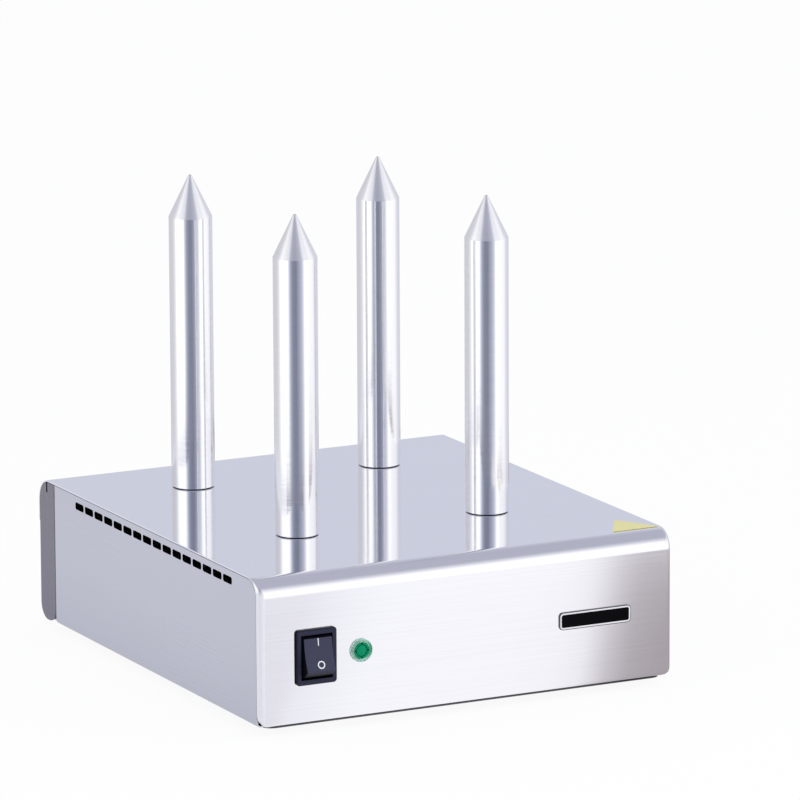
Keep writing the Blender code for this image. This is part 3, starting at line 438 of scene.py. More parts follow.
for finish in (switch_finish, rocker_finish):
    towards_rear = facing_axes(finish.node_tree)["Y"]
    aside = remap(finish.node_tree, towards_rear, 0, 1, FACES_FRONT, FACES_ASIDE)
    tone_over(finish, aside, SWITCH_SHADOW)

# %% [markdown]
# ## A lamp flange that is greener on the right
#
# The lamp's flange is thin clear plastic, so most of the light goes through it. Its left side is pale with
# the steel behind it. On its right side the light refracted through the lens turns it green, and that green
# is painted into its colour, growing to the right.

# %% Tint the lamp's flange
FLANGE_CLEARNESS = 0.75
PAINTED_REFRACTED_GREEN = (0.03, 0.58, 0.32)
PALE_UP_TO = middle("lamp_lens").x + 3.4 * MM
DEEP_FROM = middle("lamp_lens").x + 5.6 * MM

flange_tree = flange_finish.node_tree
flange_tree.nodes["Principled BSDF"].inputs["Transmission Weight"].default_value = FLANGE_CLEARNESS
painted_green_share = remap(flange_tree, place_axes(flange_tree)["X"], 0, 1, PALE_UP_TO, DEEP_FROM)
# The refracted green is painted light, laid over the flange's own colour by place.
tone_over(flange_finish, painted_green_share, PAINTED_REFRACTED_GREEN)
print("flange is pale up to x =", round(PALE_UP_TO, 4))

# %% [markdown]
# ## Which part wears which finish
#
# Each part of the model already has one material slot. The table names the finish for each group of parts by
# the start of its name, and the longest start wins, so that a nut on a spike isn't taken for the spike.

# %% Give every part its finish
finish_of = {
    "housing_shell": shell_finish,
    "left_side_panel": side_finish,
    "right_side_panel": side_finish,
    "rear_panel": rear_finish,
    "bottom_plate": plate_finish,
    "spike_": spike_finish,
    "spike_washer": zinc_finish,
    "spike_nut": zinc_finish,
    "heater": heater_finish,
    "switch_frame": switch_finish,
    "rocker": rocker_finish,
    "switch_terminal": brass_finish,
    "lamp_lens": lens_finish,
    "lamp_body": lamp_finish,
    "lamp_clip": zinc_finish,
    "name_plate": badge_finish,
    "corner_patch": patch_finish,
    "gland_": nylon_finish,
    "gland_seal": rubber_finish,
    "foot_": rubber_finish,
    "foot_screw": zinc_finish,
    "foot_nut": zinc_finish,
    "plate_screw": zinc_finish,
    "rear_screw": zinc_finish,
    "earth_": zinc_finish,
    "terminal_block": ceramic_finish,
}

for name, part in nodes.items():
    start = max((key for key in finish_of if name.startswith(key)), key=len)
    part.data.materials.clear()
    part.data.materials.append(finish_of[start])
print("finished", len(nodes), "parts")

# %% [markdown]
# ## Smooth bends and crisp edges
#
# The parts come as loose triangles, which a mirror finish would show one by one. A Weld modifier joins
# them, an Edge Split keeps every corner over thirty degrees crisp, and a Weighted Normal lets the large flat
# faces decide the shading, so that the light flows round a bend and stays still on the flats. The mesh
# itself isn't touched.

# %% Shade the parts
WELD_REACH = 0.01 * MM
CRISP_FROM = math.radians(30)
MOST_WEIGHT = 100

for part in nodes.values():
    part.data.shade_smooth()
    weld = part.modifiers.new("weld", "WELD")
    weld.merge_threshold = WELD_REACH
    split = part.modifiers.new("split", "EDGE_SPLIT")
    split.split_angle = CRISP_FROM
    split.use_edge_sharp = False
    weighted = part.modifiers.new("weighted", "WEIGHTED_NORMAL")
    weighted.mode = "FACE_AREA"
    weighted.weight = MOST_WEIGHT
print("shaded", len(nodes), "parts")

# %% [markdown]
# ## Modelling by hand, in code
#
# Every new piece starts from a primitive and is shaped with Blender's own edit operators, as at the screen.
# An operator works on whatever is selected, so each step begins by letting go of everything. A turned piece
# is one point, extruded along half of its outline and spun round the upright axis. Edit mode has to select
# by points for that, because an earlier step may have left it selecting by faces. A finished piece has its
# place baked into its mesh, one finish, and a ride on the body that carries it.

# %% Turn a piece
SAME_POINT = 0.002 * MM


def let_go():
    if bpy.context.mode != "OBJECT":
        bpy.ops.object.mode_set(mode="OBJECT")
    bpy.ops.object.select_all(action="DESELECT")


def pick(made):
    let_go()
    made.select_set(True)
    bpy.context.view_layer.objects.active = made


def turned(name, outline, steps, closed=False):
    """A piece of radius and height pairs in millimetres, spun round the upright axis at the origin."""
    let_go()
    bpy.ops.mesh.primitive_plane_add(size=MM)
    made = bpy.context.active_object
    made.name = name
    bpy.ops.object.mode_set(mode="EDIT")
    bpy.ops.mesh.select_mode(type="VERT")
    bpy.ops.mesh.merge(type="CENTER")
    points = outline + outline[:1] if closed else outline
    here = (0, 0)
    for number, (radius, height) in enumerate(points):
        step = ((radius - here[0]) * MM, 0, (height - here[1]) * MM)
        if number == 0:
            bpy.ops.transform.translate(value=step)
        else:
            bpy.ops.mesh.extrude_vertices_move(TRANSFORM_OT_translate={"value": step})
        here = (radius, height)
    bpy.ops.mesh.select_all(action="SELECT")
    bpy.ops.mesh.spin(steps=steps, angle=math.tau, center=(0, 0, 0), axis=(0, 0, 1))
    bpy.ops.mesh.select_all(action="SELECT")
    bpy.ops.mesh.remove_doubles(threshold=SAME_POINT)
    bpy.ops.mesh.normals_make_consistent(inside=False)
    bpy.ops.object.mode_set(mode="OBJECT")
    return made


# %% Place, copy and hand over a piece
def put(made, place, turn=(0, 0, 0)):
    made.location = place
    made.rotation_euler = turn
    pick(made)
    bpy.ops.object.transform_apply(location=True, rotation=True, scale=True)


def copied(made, name, shift):
    """A copy with a mesh of its own, moved by a shift."""
    pick(made)
    bpy.ops.object.duplicate()
    twin = bpy.context.active_object
    twin.name = name
    bpy.ops.transform.translate(value=shift)
    bpy.ops.object.transform_apply(location=True, rotation=True, scale=True)
    return twin


def hand_over(made, finish, stands_for=None, crisp=20, body="housing"):
    pick(made)
    bpy.ops.object.shade_smooth_by_angle(angle=math.radians(crisp))
    made.data.materials.clear()
    made.data.materials.append(finish)
    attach(made, body)
    if stands_for:
        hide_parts(stands_for)
    low = Vector([min(corner[axis] for corner in made.bound_box) for axis in range(3)])
    high = Vector([max(corner[axis] for corner in made.bound_box) for axis in range(3)])
    print(made.name, "measures", [round(value / MM, 2) for value in high - low], "mm")


# %% [markdown]
# ## The spikes
#
# A spike is a turned aluminium bar: a long shank, a cone with its point rounded so that it can't cut a
# finger, a fine break at the foot, and a threaded stub that goes down through the top to its nut. The bore
# takes the heater. The outline is drawn once, spun in ninety-six steps, so that the highlights stay smooth,
# and copied to the other three places.

# %% Outline of a spike
CORNERS = ["front_left", "front_right", "rear_left", "rear_right"]
SHANK_RADIUS = 12.2
CONE_HEIGHT = 23.6
TIP_ROUND = 1.2
TIP_STEPS = 6
FOOT_BREAK = 0.4
STUB_RADIUS = 7
STUB_CHAMFER = 0.5
THREAD_START = 1.2
THREAD_PITCH = 1
THREAD_DEPTH = 0.35
BORE_RADIUS = 5.3
FIT_GAP = 0.3

spike_low, spike_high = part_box("spike_front_left")
spike_tip = (spike_high.z - top_z) / MM
spike_stub = (spike_low.z - top_z) / MM
heater_top = (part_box("heater_front_left")[1].z - top_z) / MM
cone_slope = math.atan2(SHANK_RADIUS - TIP_ROUND, CONE_HEIGHT - TIP_ROUND / 2)
spike_outline = [(0, spike_tip)]
for step in range(1, TIP_STEPS + 1):
    angle = math.pi / 2 - step / TIP_STEPS * (math.pi / 2 - cone_slope)
    spike_outline.append((TIP_ROUND * math.cos(angle), spike_tip - TIP_ROUND * (1 - math.sin(angle))))
spike_outline += [
    (SHANK_RADIUS, spike_tip - CONE_HEIGHT),
    (SHANK_RADIUS, FIT_GAP + FOOT_BREAK),
    (SHANK_RADIUS - FOOT_BREAK, FIT_GAP),
    (STUB_RADIUS, FIT_GAP),
]
thread_z = -THREAD_START
while thread_z > spike_stub + THREAD_PITCH:
    spike_outline.append((STUB_RADIUS, thread_z))
    spike_outline.append((STUB_RADIUS - THREAD_DEPTH, thread_z - THREAD_PITCH / 2))
    thread_z -= THREAD_PITCH
spike_outline += [
    (STUB_RADIUS - STUB_CHAMFER, spike_stub),
    (BORE_RADIUS, spike_stub),
    (BORE_RADIUS, heater_top + FIT_GAP),
    (0, heater_top + FIT_GAP),
]
print("spike outline of", len(spike_outline), "points")

# %% Turn the spikes
SPIKE_STEPS = 96

first_spike = turned("turned_spike_front_left", spike_outline, SPIKE_STEPS)
first_place = middle("spike_front_left")
put(first_spike, (first_place.x, first_place.y, top_z))
turned_spikes = {"front_left": first_spike}
for corner in CORNERS[1:]:
    place = middle("spike_" + corner)
    shift = (place.x - first_place.x, place.y - first_place.y, 0)
    turned_spikes[corner] = copied(first_spike, "turned_spike_" + corner, shift)
for corner, made in turned_spikes.items():
    hand_over(made, spike_finish, "spike_" + corner)

# %% [markdown]
# ## The marks on the rocker
#
# The rocker has a printed bar at its upper end for on and a ring at its lower end for off. Each mark starts
# flat in front of the face, is laid onto its hollow by a Shrinkwrap modifier, and gets the thickness of
# paint by a Solidify modifier. It rides on the rocker's own body, so that it tilts with it.

# %% Lay a mark on the rocker
ROCKER_TILT = math.radians(-15)
AXLE_DEPTH = 2
MARK_DISTANCE = 12
MARK_LIFT = 0.01
MARK_THICKNESS = 0.06
axle = Vector((middle("switch_frame").x, front_y + AXLE_DEPTH * MM, middle("switch_frame").z))


def apply_modifier(made, kind, **settings):
    pick(made)
    modifier = made.modifiers.new(kind.lower(), kind)
    for key, value in settings.items():
        setattr(modifier, key, value)
    bpy.ops.object.modifier_apply(modifier=modifier.name)


def lay_on_rocker(made, across, height):
    """Lays a flat mark this far to the right of the axle and above it, in millimetres."""
    made.matrix_world = (
        Matrix.Translation(axle)
        @ Matrix.Rotation(ROCKER_TILT, 4, "X")
        @ Matrix.Translation((across * MM, -MARK_DISTANCE * MM, height * MM))
        @ Matrix.Rotation(math.pi / 2, 4, "X")
    )
    bpy.context.view_layer.update()
    apply_modifier(
        made,
        "SHRINKWRAP",
        target=nodes["rocker"],
        wrap_method="PROJECT",
        use_project_z=True,
        use_positive_direction=False,
        use_negative_direction=True,
        offset=MARK_LIFT * MM,
    )
    apply_modifier(made, "SOLIDIFY", thickness=MARK_THICKNESS * MM, offset=1)
    bpy.ops.object.transform_apply(location=True, rotation=True, scale=True)
    hand_over(made, mark_finish, body="rocker")


# %% Print the bar
BAR_WIDTH = 0.52
BAR_LENGTH = 4.1
BAR_CORNER = 0.12
BAR_CORNER_STEPS = 2
BAR_HEIGHT = 6.8
CUTS_EACH_WAY = 4
CUT_SPACING = 0.45

let_go()
bpy.ops.mesh.primitive_plane_add(size=MM)
on_mark = bpy.context.active_object
on_mark.name = "rocker_mark_on"
bpy.ops.object.mode_set(mode="EDIT")
bpy.ops.transform.resize(value=(BAR_WIDTH, BAR_LENGTH, 1))
bpy.ops.mesh.bevel(offset=BAR_CORNER * MM, segments=BAR_CORNER_STEPS, affect="VERTICES")
bpy.ops.object.mode_set(mode="OBJECT")
for cut in range(-CUTS_EACH_WAY, CUTS_EACH_WAY + 1):
    bpy.ops.object.mode_set(mode="EDIT")
    bpy.ops.mesh.select_all(action="SELECT")
    bpy.ops.mesh.bisect(plane_co=(0, cut * CUT_SPACING * MM, 0), plane_no=(0, 1, 0))
    bpy.ops.object.mode_set(mode="OBJECT")
lay_on_rocker(on_mark, 0, BAR_HEIGHT)

# %% Print the ring
RING_RADIUS = 2.15
RING_STEPS = 48
RING_LINE = 0.62
RING_ACROSS = 0.35
RING_HEIGHT = -5.6

let_go()
bpy.ops.mesh.primitive_circle_add(vertices=RING_STEPS, radius=RING_RADIUS * MM, fill_type="NGON")
off_mark = bpy.context.active_object
off_mark.name = "rocker_mark_off"
bpy.ops.object.mode_set(mode="EDIT")
bpy.ops.mesh.inset(thickness=RING_LINE * MM)
bpy.ops.mesh.delete(type="FACE")
bpy.ops.object.mode_set(mode="OBJECT")
lay_on_rocker(off_mark, RING_ACROSS, RING_HEIGHT)

# %% [markdown]
# ## The green lamp
#
# The lens is green plastic in steps: a pale clear flange that lies on the steel, a lower ring with four
# notches for the tool that turns it in, a groove, and a small dome over the bulb. The flange and the middle
# are turned apart, because thin plastic lets more of the steel through than thick plastic does. A notch is
# a few faces of the ring, chosen by their place and pushed in.

# %% Turn the lens's flange
LENS_RADIUS = size("lamp_lens").x / 2 / MM
LENS_STEPS = 96
SMOOTH_UP_TO = 35
FACING_FRONT = (math.pi / 2, 0, 0)
lamp_seat = Vector((middle("lamp_lens").x, front_y - FIT_GAP * MM, middle("lamp_lens").z))
flange_outline = [
    (4.60, 0.0),
    (LENS_RADIUS - 0.15, 0.0),
    (LENS_RADIUS, 0.15),
    (LENS_RADIUS, 0.70),
    (LENS_RADIUS - 0.12, 0.95),
    (LENS_RADIUS - 0.36, 1.10),
    (LENS_RADIUS - 0.70, 1.16),
    (5.00, 1.08),
    (4.75, 1.00),
    (4.60, 0.85),
]
lens_flange = turned("lamp_lens_flange", flange_outline, LENS_STEPS, closed=True)
put(lens_flange, lamp_seat, FACING_FRONT)
hand_over(lens_flange, flange_finish, "lamp_lens", SMOOTH_UP_TO)

# %% Turn the lens's middle
core_outline = [
    (0.0, 1.10),
    (0.9, 1.08),
    (1.8, 1.00),
    (2.5, 0.88),
    (2.95, 0.72),
    (3.05, 0.50),
    (3.10, -0.2),
    (3.36, -0.2),
    (3.40, 0.80),
    (3.50, 0.95),
    (4.32, 0.95),
    (4.46, 0.88),
    (4.52, 0.7),
    (4.52, 0.0),
    (3.60, 0.0),
    (3.60, -5.0),
    (0.0, -5.0),
]
lens_core = turned("lamp_lens_core", core_outline, LENS_STEPS)

# %% Sink the notches
NOTCH_FROM = 3.5
NOTCH_TO = 4.2
NOTCH_ABOVE = 0.8
NOTCH_HALF_ANGLE = 7.6
NOTCH_DEPTH = 0.9


def choose_faces(made, wanted):
    """Selects, in edit mode, the faces whose middle and normal pass the test, and counts them."""
    pick(made)
    bpy.ops.object.mode_set(mode="EDIT")
    bpy.ops.mesh.select_mode(type="FACE")
    bpy.ops.mesh.select_all(action="DESELECT")
    bpy.ops.object.mode_set(mode="OBJECT")
    count = 0
    for face in made.data.polygons:
        face.select = wanted(face.center, face.normal)
        count += face.select
    bpy.ops.object.mode_set(mode="EDIT")
    return count


def is_notch(centre, normal):
    """Four places of the flat ring, at the top, the bottom, the left and the right."""
    reach = math.hypot(centre.x, centre.y) / MM
    turn = math.degrees(math.atan2(centre.y, centre.x)) % 90
    on_ring = NOTCH_FROM < reach < NOTCH_TO and centre.z > NOTCH_ABOVE * MM
    return on_ring and min(turn, 90 - turn) < NOTCH_HALF_ANGLE


print("notch faces:", choose_faces(lens_core, is_notch))
bpy.ops.mesh.extrude_region_move(TRANSFORM_OT_translate={"value": (0, 0, -NOTCH_DEPTH * MM)})
bpy.ops.object.mode_set(mode="OBJECT")
put(lens_core, lamp_seat, FACING_FRONT)
hand_over(lens_core, lens_finish, "lamp_lens", SMOOTH_UP_TO)

# %% [markdown]
# ## The bare plate
#
# The plate at the right of the front is a pressed badge with a thin dark edge, a bright rim and a dark sunk
# panel, left bare here. One rounded outline serves all three: its corners are bevelled, one inset marks the
# edge off from the rim and another the rim from the panel, and each part is split away and given its own
# depth.

# %% Press the plate
PLATE_CORNER = 2.4
PLATE_CORNER_STEPS = 10
EDGE_WIDTH = 0.45
RIM_WIDTH = 0.8
EDGE_DROP = 0.1
PANEL_DROP = 0.2
PLATE_SMOOTH_UP_TO = 40
plate_low, plate_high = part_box("name_plate")
plate_size = plate_high - plate_low
plate_middle = (plate_low + plate_high) / 2


def split_off(made, name, thickness):
    """Insets the selected face, parts what is inside it from the rest, and names that part."""
    pick(made)
    bpy.ops.object.mode_set(mode="EDIT")
    bpy.ops.mesh.select_all(action="SELECT")
    bpy.ops.mesh.inset(thickness=thickness * MM)
    bpy.ops.mesh.separate(type="SELECTED")
    bpy.ops.object.mode_set(mode="OBJECT")
    inner = [other for other in bpy.context.selected_objects if other != made][0]
    inner.name = name
    return inner


let_go()
bpy.ops.mesh.primitive_plane_add(size=1)
plate_edge = bpy.context.active_object
plate_edge.name = "name_plate_edge"
bpy.ops.object.mode_set(mode="EDIT")
bpy.ops.transform.resize(value=(plate_size.x, plate_size.z, 1))
bpy.ops.mesh.bevel(offset=PLATE_CORNER * MM, segments=PLATE_CORNER_STEPS, affect="VERTICES")
bpy.ops.object.mode_set(mode="OBJECT")
plate_rim = split_off(plate_edge, "name_plate_rim", EDGE_WIDTH)
plate_panel = split_off(plate_rim, "name_plate_panel", RIM_WIDTH)
for made, drop, finish in (
    (plate_edge, EDGE_DROP, edge_finish),
    (plate_rim, 0, rim_finish),
    (plate_panel, PANEL_DROP, badge_finish),
):
    apply_modifier(made, "SOLIDIFY", thickness=plate_size.y - drop * MM, offset=-1)
    put(made, (plate_middle.x, plate_low.y + drop * MM, plate_middle.z), FACING_FRONT)
    hand_over(made, finish, "name_plate", PLATE_SMOOTH_UP_TO)

# %% [markdown]
# ## Screws with a cross recess
#
# Each screw is turned with its pan head and thread, and a cross is cut into the head. The head's dome is a
# short list of shares of its radius and height, so that it fits every size. The cutter is a cube whose four
# sides are extruded into arms, and a Boolean modifier takes it away. One screw of each size is made and
# copied.

# %% Cut a screw
SCREW_STEPS = 48
SCREW_CHAMFER = 0.4
SCREW_PITCH = 0.6
SCREW_THREAD_DEPTH = 0.25
SCREW_CREST = 0.05
PLAIN_SHAFT = 0.3
HEAD_BREAK = 0.12
HEAD_SHARES = [(1, 0.50), (0.93, 0.74), (0.78, 0.90), (0.50, 0.98), (0, 1)]
ARM_WIDTH = 0.28
ARM_LENGTH = 0.36
CUTTER_HEIGHT = 1.2
CUTTER_SIDE = 0.5


def cross_screw(name, head_radius, head_height, shaft_radius, length, recess):
    """A screw that stands on its head, with its seat at the origin. Sizes are in millimetres."""
    height = length - SCREW_CHAMFER
    outline = [(0, length), (shaft_radius - SCREW_CHAMFER, length), (shaft_radius, height)]
    while height > PLAIN_SHAFT + SCREW_PITCH:
        outline.append((shaft_radius, height - SCREW_CREST))
        outline.append((shaft_radius - SCREW_THREAD_DEPTH, height - SCREW_PITCH / 2))
        height -= SCREW_PITCH
    outline += [
        (shaft_radius, PLAIN_SHAFT),
        (shaft_radius, 0),
        (head_radius - HEAD_BREAK, 0),
        (head_radius, -HEAD_BREAK),
    ]
    outline += [(head_radius * across, -head_height * down) for across, down in HEAD_SHARES]
    made = turned(name, outline, SCREW_STEPS)
    let_go()
    bpy.ops.mesh.primitive_cube_add(size=1, location=(0, 0, -head_height * MM))
    cutter = bpy.context.active_object
    arm_width = recess * ARM_WIDTH * MM
    cutter.scale = (arm_width, arm_width, head_height * CUTTER_HEIGHT * MM)
    bpy.ops.object.transform_apply(location=True, rotation=True, scale=True)
    choose_faces(cutter, lambda centre, normal: abs(normal.z) < CUTTER_SIDE)
    bpy.ops.mesh.extrude_faces_move(TRANSFORM_OT_shrink_fatten={"value": recess * ARM_LENGTH * MM})
    bpy.ops.object.mode_set(mode="OBJECT")
    print("recess cutter", [round(value / MM, 2) for value in cutter.dimensions], "mm")
    apply_modifier(made, "BOOLEAN", object=cutter, operation="DIFFERENCE", solver="EXACT")
    bpy.data.objects.remove(cutter)
    return made


# %% Make one screw of each size
SMALL_RADIUS = 2.75
SMALL_HEAD = 1.6
SMALL_SHAFT = 1.45
SMALL_LENGTH = 6
SMALL_RECESS = 2.8
LARGE_RADIUS = 3.6
LARGE_HEAD = 1.7
LARGE_SHAFT = 1.95
LARGE_RECESS = 3.6
EARTH_LENGTH = 12

foot_length = size("foot_screw_front_left").z / MM - LARGE_HEAD
small_screw = cross_screw("small_screw", SMALL_RADIUS, SMALL_HEAD, SMALL_SHAFT, SMALL_LENGTH, SMALL_RECESS)
foot_screw = cross_screw("foot_screw", LARGE_RADIUS, LARGE_HEAD, LARGE_SHAFT, foot_length, LARGE_RECESS)
long_screw = cross_screw("long_screw", LARGE_RADIUS, LARGE_HEAD, LARGE_SHAFT, EARTH_LENGTH, LARGE_RECESS)

# %% Put the screws in
screw_sets = {
    "plate_screw_": (small_screw, SMALL_HEAD, CORNERS),
    "foot_screw_": (foot_screw, LARGE_HEAD, CORNERS),
    "earth_": (long_screw, LARGE_HEAD, ["stud"]),
}
for start, (pattern, head_height, ends) in screw_sets.items():
    for end in ends:
        spot = middle(start + end)
        seat_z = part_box(start + end)[0].z + head_height * MM
        made = copied(pattern, "cut_" + start + end, (spot.x, spot.y, seat_z))
        hand_over(made, zinc_finish, start + end)
for end in ["left", "middle", "right"]:
    spot = middle("rear_screw_" + end)
    seat_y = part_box("rear_screw_" + end)[1].y - SMALL_HEAD * MM
    made = copied(small_screw, "cut_rear_screw_" + end, (0, 0, 0))
    put(made, (spot.x, seat_y, spot.z), FACING_FRONT)
    hand_over(made, zinc_finish, "rear_screw_" + end)
for pattern in (small_screw, foot_screw, long_screw):
    bpy.data.objects.remove(pattern)

# %% [markdown]
# ## Rubber feet and the gland's cap
#
# A moulded foot has soft edges and a recess for its screw. The cap of the cable gland has a rounded nose
# and a ring of grips for the fingers: every other pair of its side faces is extruded outwards.

# %% Mould the feet
FOOT_STEPS = 64
foot_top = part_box("foot_front_left")[1].z / MM
foot_outline = [
    (2.25, foot_top),
    (9.6, foot_top),
    (9.9, foot_top - 0.15),
    (10.0, foot_top - 0.5),
    (9.25, 0.9),
    (9.0, 0.35),
    (8.5, 0.05),
    (8.0, 0.0),
    (5.0, 0.0),
    (4.65, 0.15),
    (4.6, 0.5),
    (4.6, 2.6),
    (2.25, 2.6),
]
first_foot = turned("moulded_foot_front_left", foot_outline, FOOT_STEPS, closed=True)
foot_spot = middle("foot_front_left")
put(first_foot, (foot_spot.x, foot_spot.y, 0))
moulded_feet = {"front_left": first_foot}
for corner in CORNERS[1:]:
    spot = middle("foot_" + corner)
    shift = (spot.x - foot_spot.x, spot.y - foot_spot.y, 0)
    moulded_feet[corner] = copied(first_foot, "moulded_foot_" + corner, shift)
for corner, made in moulded_feet.items():
    hand_over(made, rubber_finish, "foot_" + corner, SMOOTH_UP_TO)

# %% Mould the gland's cap
CAP_STEPS = 72
GRIP_FROM = 8.9
GRIP_STEEPNESS = 0.1
GRIP_TURN = 20
GRIP_HEIGHT = 0.4
FACING_REAR = (-math.pi / 2, 0, 0)
cap_low, cap_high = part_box("gland_cap")
cap_length = (cap_high.y - cap_low.y) / MM
cap_outline = [
    (7.3, 0.0),
    (8.8, 0.0),
    (9.0, 0.4),
    (9.0, cap_length - 4.0),
    (8.9, cap_length - 3.2),
    (8.3, cap_length - 1.6),
    (7.2, cap_length - 0.4),
    (6.3, cap_length),
    (4.4, cap_length),
    (3.9, cap_length - 0.5),
    (3.9, 7.3),
    (7.3, 7.3),
]
gland_cap = turned("moulded_gland_cap", cap_outline, CAP_STEPS, closed=True)


def is_grip(centre, normal):
    """Every other pair of the upright faces at the cap's widest."""
    at_side = math.hypot(centre.x, centre.y) > GRIP_FROM * MM and abs(normal.z) < GRIP_STEEPNESS
    turn = math.degrees(math.atan2(centre.y, centre.x)) % GRIP_TURN
    return at_side and turn < GRIP_TURN / 2


print("grip faces:", choose_faces(gland_cap, is_grip))
bpy.ops.mesh.extrude_region_shrink_fatten(TRANSFORM_OT_shrink_fatten={"value": GRIP_HEIGHT * MM})
bpy.ops.object.mode_set(mode="OBJECT")
put(gland_cap, (middle("gland_cap").x, cap_low.y, middle("gland_cap").z), FACING_REAR)
hand_over(gland_cap, nylon_finish, "gland_cap", SMOOTH_UP_TO)

# %% [markdown]
# ## The room
#
# A mirror shows its room, so polished metal needs one. The world is white where the camera looks. What the
# metal mirrors is a pale room with its lit and unlit sides: bright walls to the left and right, a dimmer,
# bluish one behind, a dim ceiling, and the unlit side where the camera stands, which draws the dark band
# down each spike. The walls are one ramp of tones round the room, by the compass angle of the mirrored ray.
# A softer, even light fills the shadows.

# %% Start the room
room_azimuth = Vector((camera_back.x, camera_back.y, 0)).normalized()

world = bpy.data.worlds.new("room")
world.use_nodes = True
bpy.context.scene.world = world
room = world.node_tree
room.nodes.clear()
room_output = add(room, "ShaderNodeOutputWorld")
direction = add(room, "ShaderNodeTexCoord").outputs["Generated"]


def along(axis):
    """How far the mirrored ray goes along a level direction."""
    product = add(room, "ShaderNodeVectorMath", operation="DOT_PRODUCT")
    product.inputs[1].default_value = axis
    room.links.new(direction, product.inputs[0])
    return product.outputs["Value"]


def background(colour, strength=1):
    light = add(room, "ShaderNodeBackground")
    feed(room, light.inputs["Color"], colour)
    light.inputs["Strength"].default_value = strength
    return light.outputs["Background"]


def is_mirrored(tree, ray):
    """1 for a ray that metal mirrors or clear plastic lets through, and 0 for any other."""
    return calculate(tree, "MAXIMUM", ray["Is Glossy Ray"], ray["Is Transmission Ray"])


# %% Tone the walls, by degrees to the right of where the camera stands
wall_tones = [
    (-180, (0.66, 0.68, 0.78)),
    (-141, (0.66, 0.66, 0.72)),
    (-112, (0.70, 0.69, 0.73)),
    (-101, (0.77, 0.765, 0.79)),
    (-94, (0.88, 0.88, 0.89)),
    (-87, (1.06, 1.06, 1.06)),
    (-80, (1.24, 1.24, 1.24)),
    (-40, (1.26, 1.26, 1.26)),
    (-34, (0.95, 0.96, 0.98)),
    (-28, (0.58, 0.61, 0.73)),
    (-20, (0.355, 0.385, 0.49)),
    (-14, (0.28, 0.30, 0.385)),
    (-5, (0.235, 0.25, 0.33)),
    (6, (0.235, 0.25, 0.33)),
    (14, (0.335, 0.35, 0.44)),
    (27, (0.47, 0.485, 0.59)),
    (37, (0.62, 0.64, 0.75)),
    (43, (0.86, 0.87, 0.96)),
    (49, (1.16, 1.16, 1.20)),
    (58, (1.28, 1.28, 1.30)),
    (72, (1.13, 1.13, 1.15)),
    (100, (1.06, 1.06, 1.08)),
    (111, (0.93, 0.93, 0.97)),
    (121, (0.79, 0.795, 0.87)),
    (133, (0.72, 0.725, 0.80)),
    (180, (0.66, 0.68, 0.78)),
]
compass = calculate(room, "ARCTAN2", along(level_right), along(room_azimuth))
around = remap(room, compass, 0, 1, -math.pi, math.pi)
walls = tone_ramp(room, around, [(0.5 + degrees / 360, tone) for degrees, tone in wall_tones])

# %% Dim the ceiling and join the lights
CEILING_TONE = (0.50, 0.51, 0.60)
CEILING_FROM = 0.42
CEILING_FULL = 0.79
EVEN_TONE = (0.96, 0.97, 1)
EVEN_STRENGTH = 0.75
WHITE = (1, 1, 1)

upwards = remap(room, axes_of(room, direction)["Z"], 0, 1, CEILING_FROM, CEILING_FULL)
mirrored_light = background(mix(room, upwards, walls, CEILING_TONE))
ray = add(room, "ShaderNodeLightPath").outputs
bounced = mix_light(room, is_mirrored(room, ray), background(EVEN_TONE, EVEN_STRENGTH), mirrored_light)
all_light = mix_light(room, ray["Is Camera Ray"], bounced, background(WHITE))
room.links.new(all_light, room_output.inputs["Surface"])
print("room built with", len(wall_tones), "wall tones")

# %% [markdown]
# ## The floor and what the steel sees of it
#
# The floor is one large white plane. To the camera most of its white is its own, so that it fades into the
# background, and the rest is lit, so that the machine still leaves a faint shadow. Steel that leans down
# mirrors the floor near the machine. There the floor glows with painted light and shade, the tones of a lit
# table: bright in front of the switch and the middle, going into shadow to the right and far to the left, and
# a bluish grey beside the machine, darkest next to it as painted shade, that gets paler further out. Beyond
# the table the mirrored ray goes on to the walls of the room.
# On the right it does so sooner, so that the spikes don't mirror the shadow there.

# %% Lay the floor
FLOOR_SIZE = 8
LIT_TONE = (0.94, 0.94, 0.95, 1)
OWN_SHARE = 0.93

let_go()
bpy.ops.mesh.primitive_plane_add(size=FLOOR_SIZE, location=(0, 0, 0))
floor = bpy.context.active_object
floor.name = "floor"
floor_finish = bpy.data.materials.new("floor_white")
floor_finish.use_nodes = True
floor_tree = floor_finish.node_tree
floor_tree.nodes.clear()
floor_output = add(floor_tree, "ShaderNodeOutputMaterial")
lit_white = add(floor_tree, "ShaderNodeBsdfDiffuse")
lit_white.inputs["Color"].default_value = LIT_TONE
own_white = add(floor_tree, "ShaderNodeEmission").outputs["Emission"]
floor_ray = add(floor_tree, "ShaderNodeLightPath").outputs
own_share = calculate(floor_tree, "MULTIPLY", floor_ray["Is Camera Ray"], OWN_SHARE)
seen_floor = mix_light(floor_tree, own_share, lit_white.outputs["BSDF"], own_white)

# %% Tone the floor in front, by millimetres to the right of the machine's middle
TABLE_REACH = 2
TABLE_SLANT = -0.5956
TABLE_SPAN = 0.24

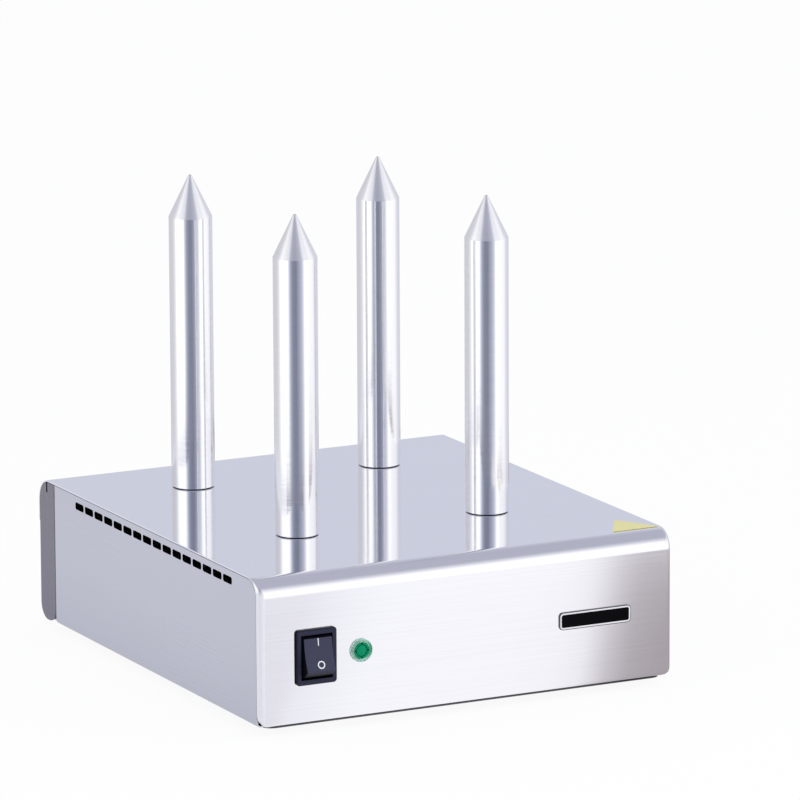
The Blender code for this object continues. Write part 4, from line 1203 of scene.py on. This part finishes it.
table_tones = [
    (-235, (0.25, 0.26, 0.33)),
    (-165, (0.86, 0.855, 0.89)),
    (-122, (0.88, 0.87, 0.905)),
    (-112, (0.965, 0.96, 0.99)),
    (-72, (1.065, 1.06, 1.08)),
    (-37, (1.08, 1.065, 1.085)),
    (20, (1.075, 1.06, 1.08)),
    (50, (1.045, 1.03, 1.05)),
    (66, (0.975, 0.955, 0.98)),
    (82, (0.655, 0.62, 0.645)),
    (96, (0.485, 0.445, 0.47)),
    (118, (0.43, 0.385, 0.405)),
]
floor_place = add(floor_tree, "ShaderNodeTexCoord").outputs["Object"]
floor_axes = axes_of(floor_tree, floor_place)
before_front = remap(floor_tree, floor_axes["Y"], TABLE_REACH, 0, front_y - TABLE_REACH, front_y)
slanted = calculate(floor_tree, "MULTIPLY_ADD", before_front, TABLE_SLANT, floor_axes["X"])
across = remap(floor_tree, slanted, 0, 1, -TABLE_SPAN, TABLE_SPAN)
table_places = [(0.5 + place * MM / (2 * TABLE_SPAN), tone) for place, tone in table_tones]
table_front = tone_ramp(floor_tree, across, table_places)

# %% Tone the floor beside the machine
SIDE_FAR_TONE = (0.81, 0.82, 0.895)
SIDE_NEAR_SHADE = (0.66, 0.67, 0.745)
SIDE_REACH = 0.11
EDGE_BLEND = 0.02

beside = remap(floor_tree, floor_axes["X"], 0, 1, -half_width - SIDE_REACH, -half_width)
# Beside the machine the glow is darker next to it, as painted shade, and paler further out.
side_floor = tone_ramp(floor_tree, beside, [(0, SIDE_FAR_TONE), (1, SIDE_NEAR_SHADE)])
in_front = remap(floor_tree, floor_axes["Y"], 1, 0, front_y, front_y + EDGE_BLEND)
on_right = remap(floor_tree, floor_axes["X"], 0, 1, half_width, half_width + EDGE_BLEND)
near_front = calculate(floor_tree, "MAXIMUM", in_front, on_right)
table_light = add(floor_tree, "ShaderNodeEmission")
table_tone = mix(floor_tree, near_front, side_floor, table_front)
floor_tree.links.new(table_tone, table_light.inputs["Color"])

# %% End the table and join its lights
TABLE_EDGE = (0.56, 0.60)
RIGHT_EDGE = (0.45, 0.47)

far_off = add(floor_tree, "ShaderNodeVectorMath", operation="LENGTH")
floor_tree.links.new(floor_place, far_off.inputs[0])
past_table = calculate(
    floor_tree,
    "MAXIMUM",
    remap(floor_tree, far_off.outputs["Value"], 0, 1, *TABLE_EDGE),
    remap(floor_tree, floor_axes["X"], 0, 1, *RIGHT_EDGE),
)
see_walls = add(floor_tree, "ShaderNodeBsdfTransparent").outputs["BSDF"]
mirrored_floor = mix_light(floor_tree, past_table, table_light.outputs["Emission"], see_walls)
whole_floor = mix_light(floor_tree, is_mirrored(floor_tree, floor_ray), seen_floor, mirrored_floor)
floor_tree.links.new(whole_floor, floor_output.inputs["Surface"])
floor.data.materials.append(floor_finish)
print("floor laid with", len(table_tones), "table tones")

# %% [markdown]
# ## Two soft lamps
#
# One wide lamp at the front right whitens the plastic and rubber parts and draws the soft shadow, and a
# second one at the left fills it. Steel doesn't mirror the lamps themselves, because the walls already stand
# for them.

# %% Hang the lamps
LAMP_TARGET = Vector((0, 0, 0.08))
KEY_PLACE = (0.9, -1.3, 0.95)
KEY_SIZE = (1.1, 0.7)
KEY_POWER = 9
FILL_PLACE = (-1.5, -0.4, 1.0)
FILL_SIZE = (0.9, 0.9)
FILL_POWER = 5


def soft_lamp(name, place, width, height, power):
    data = bpy.data.lights.new(name, "AREA")
    data.shape = "RECTANGLE"
    data.size = width
    data.size_y = height
    data.energy = power
    lamp = bpy.data.objects.new(name, data)
    lamp.location = place
    lamp.rotation_euler = (LAMP_TARGET - Vector(place)).to_track_quat("-Z", "Y").to_euler()
    lamp.visible_glossy = False
    bpy.context.scene.collection.objects.link(lamp)


soft_lamp("key_lamp", KEY_PLACE, *KEY_SIZE, KEY_POWER)
soft_lamp("fill_lamp", FILL_PLACE, *FILL_SIZE, FILL_POWER)
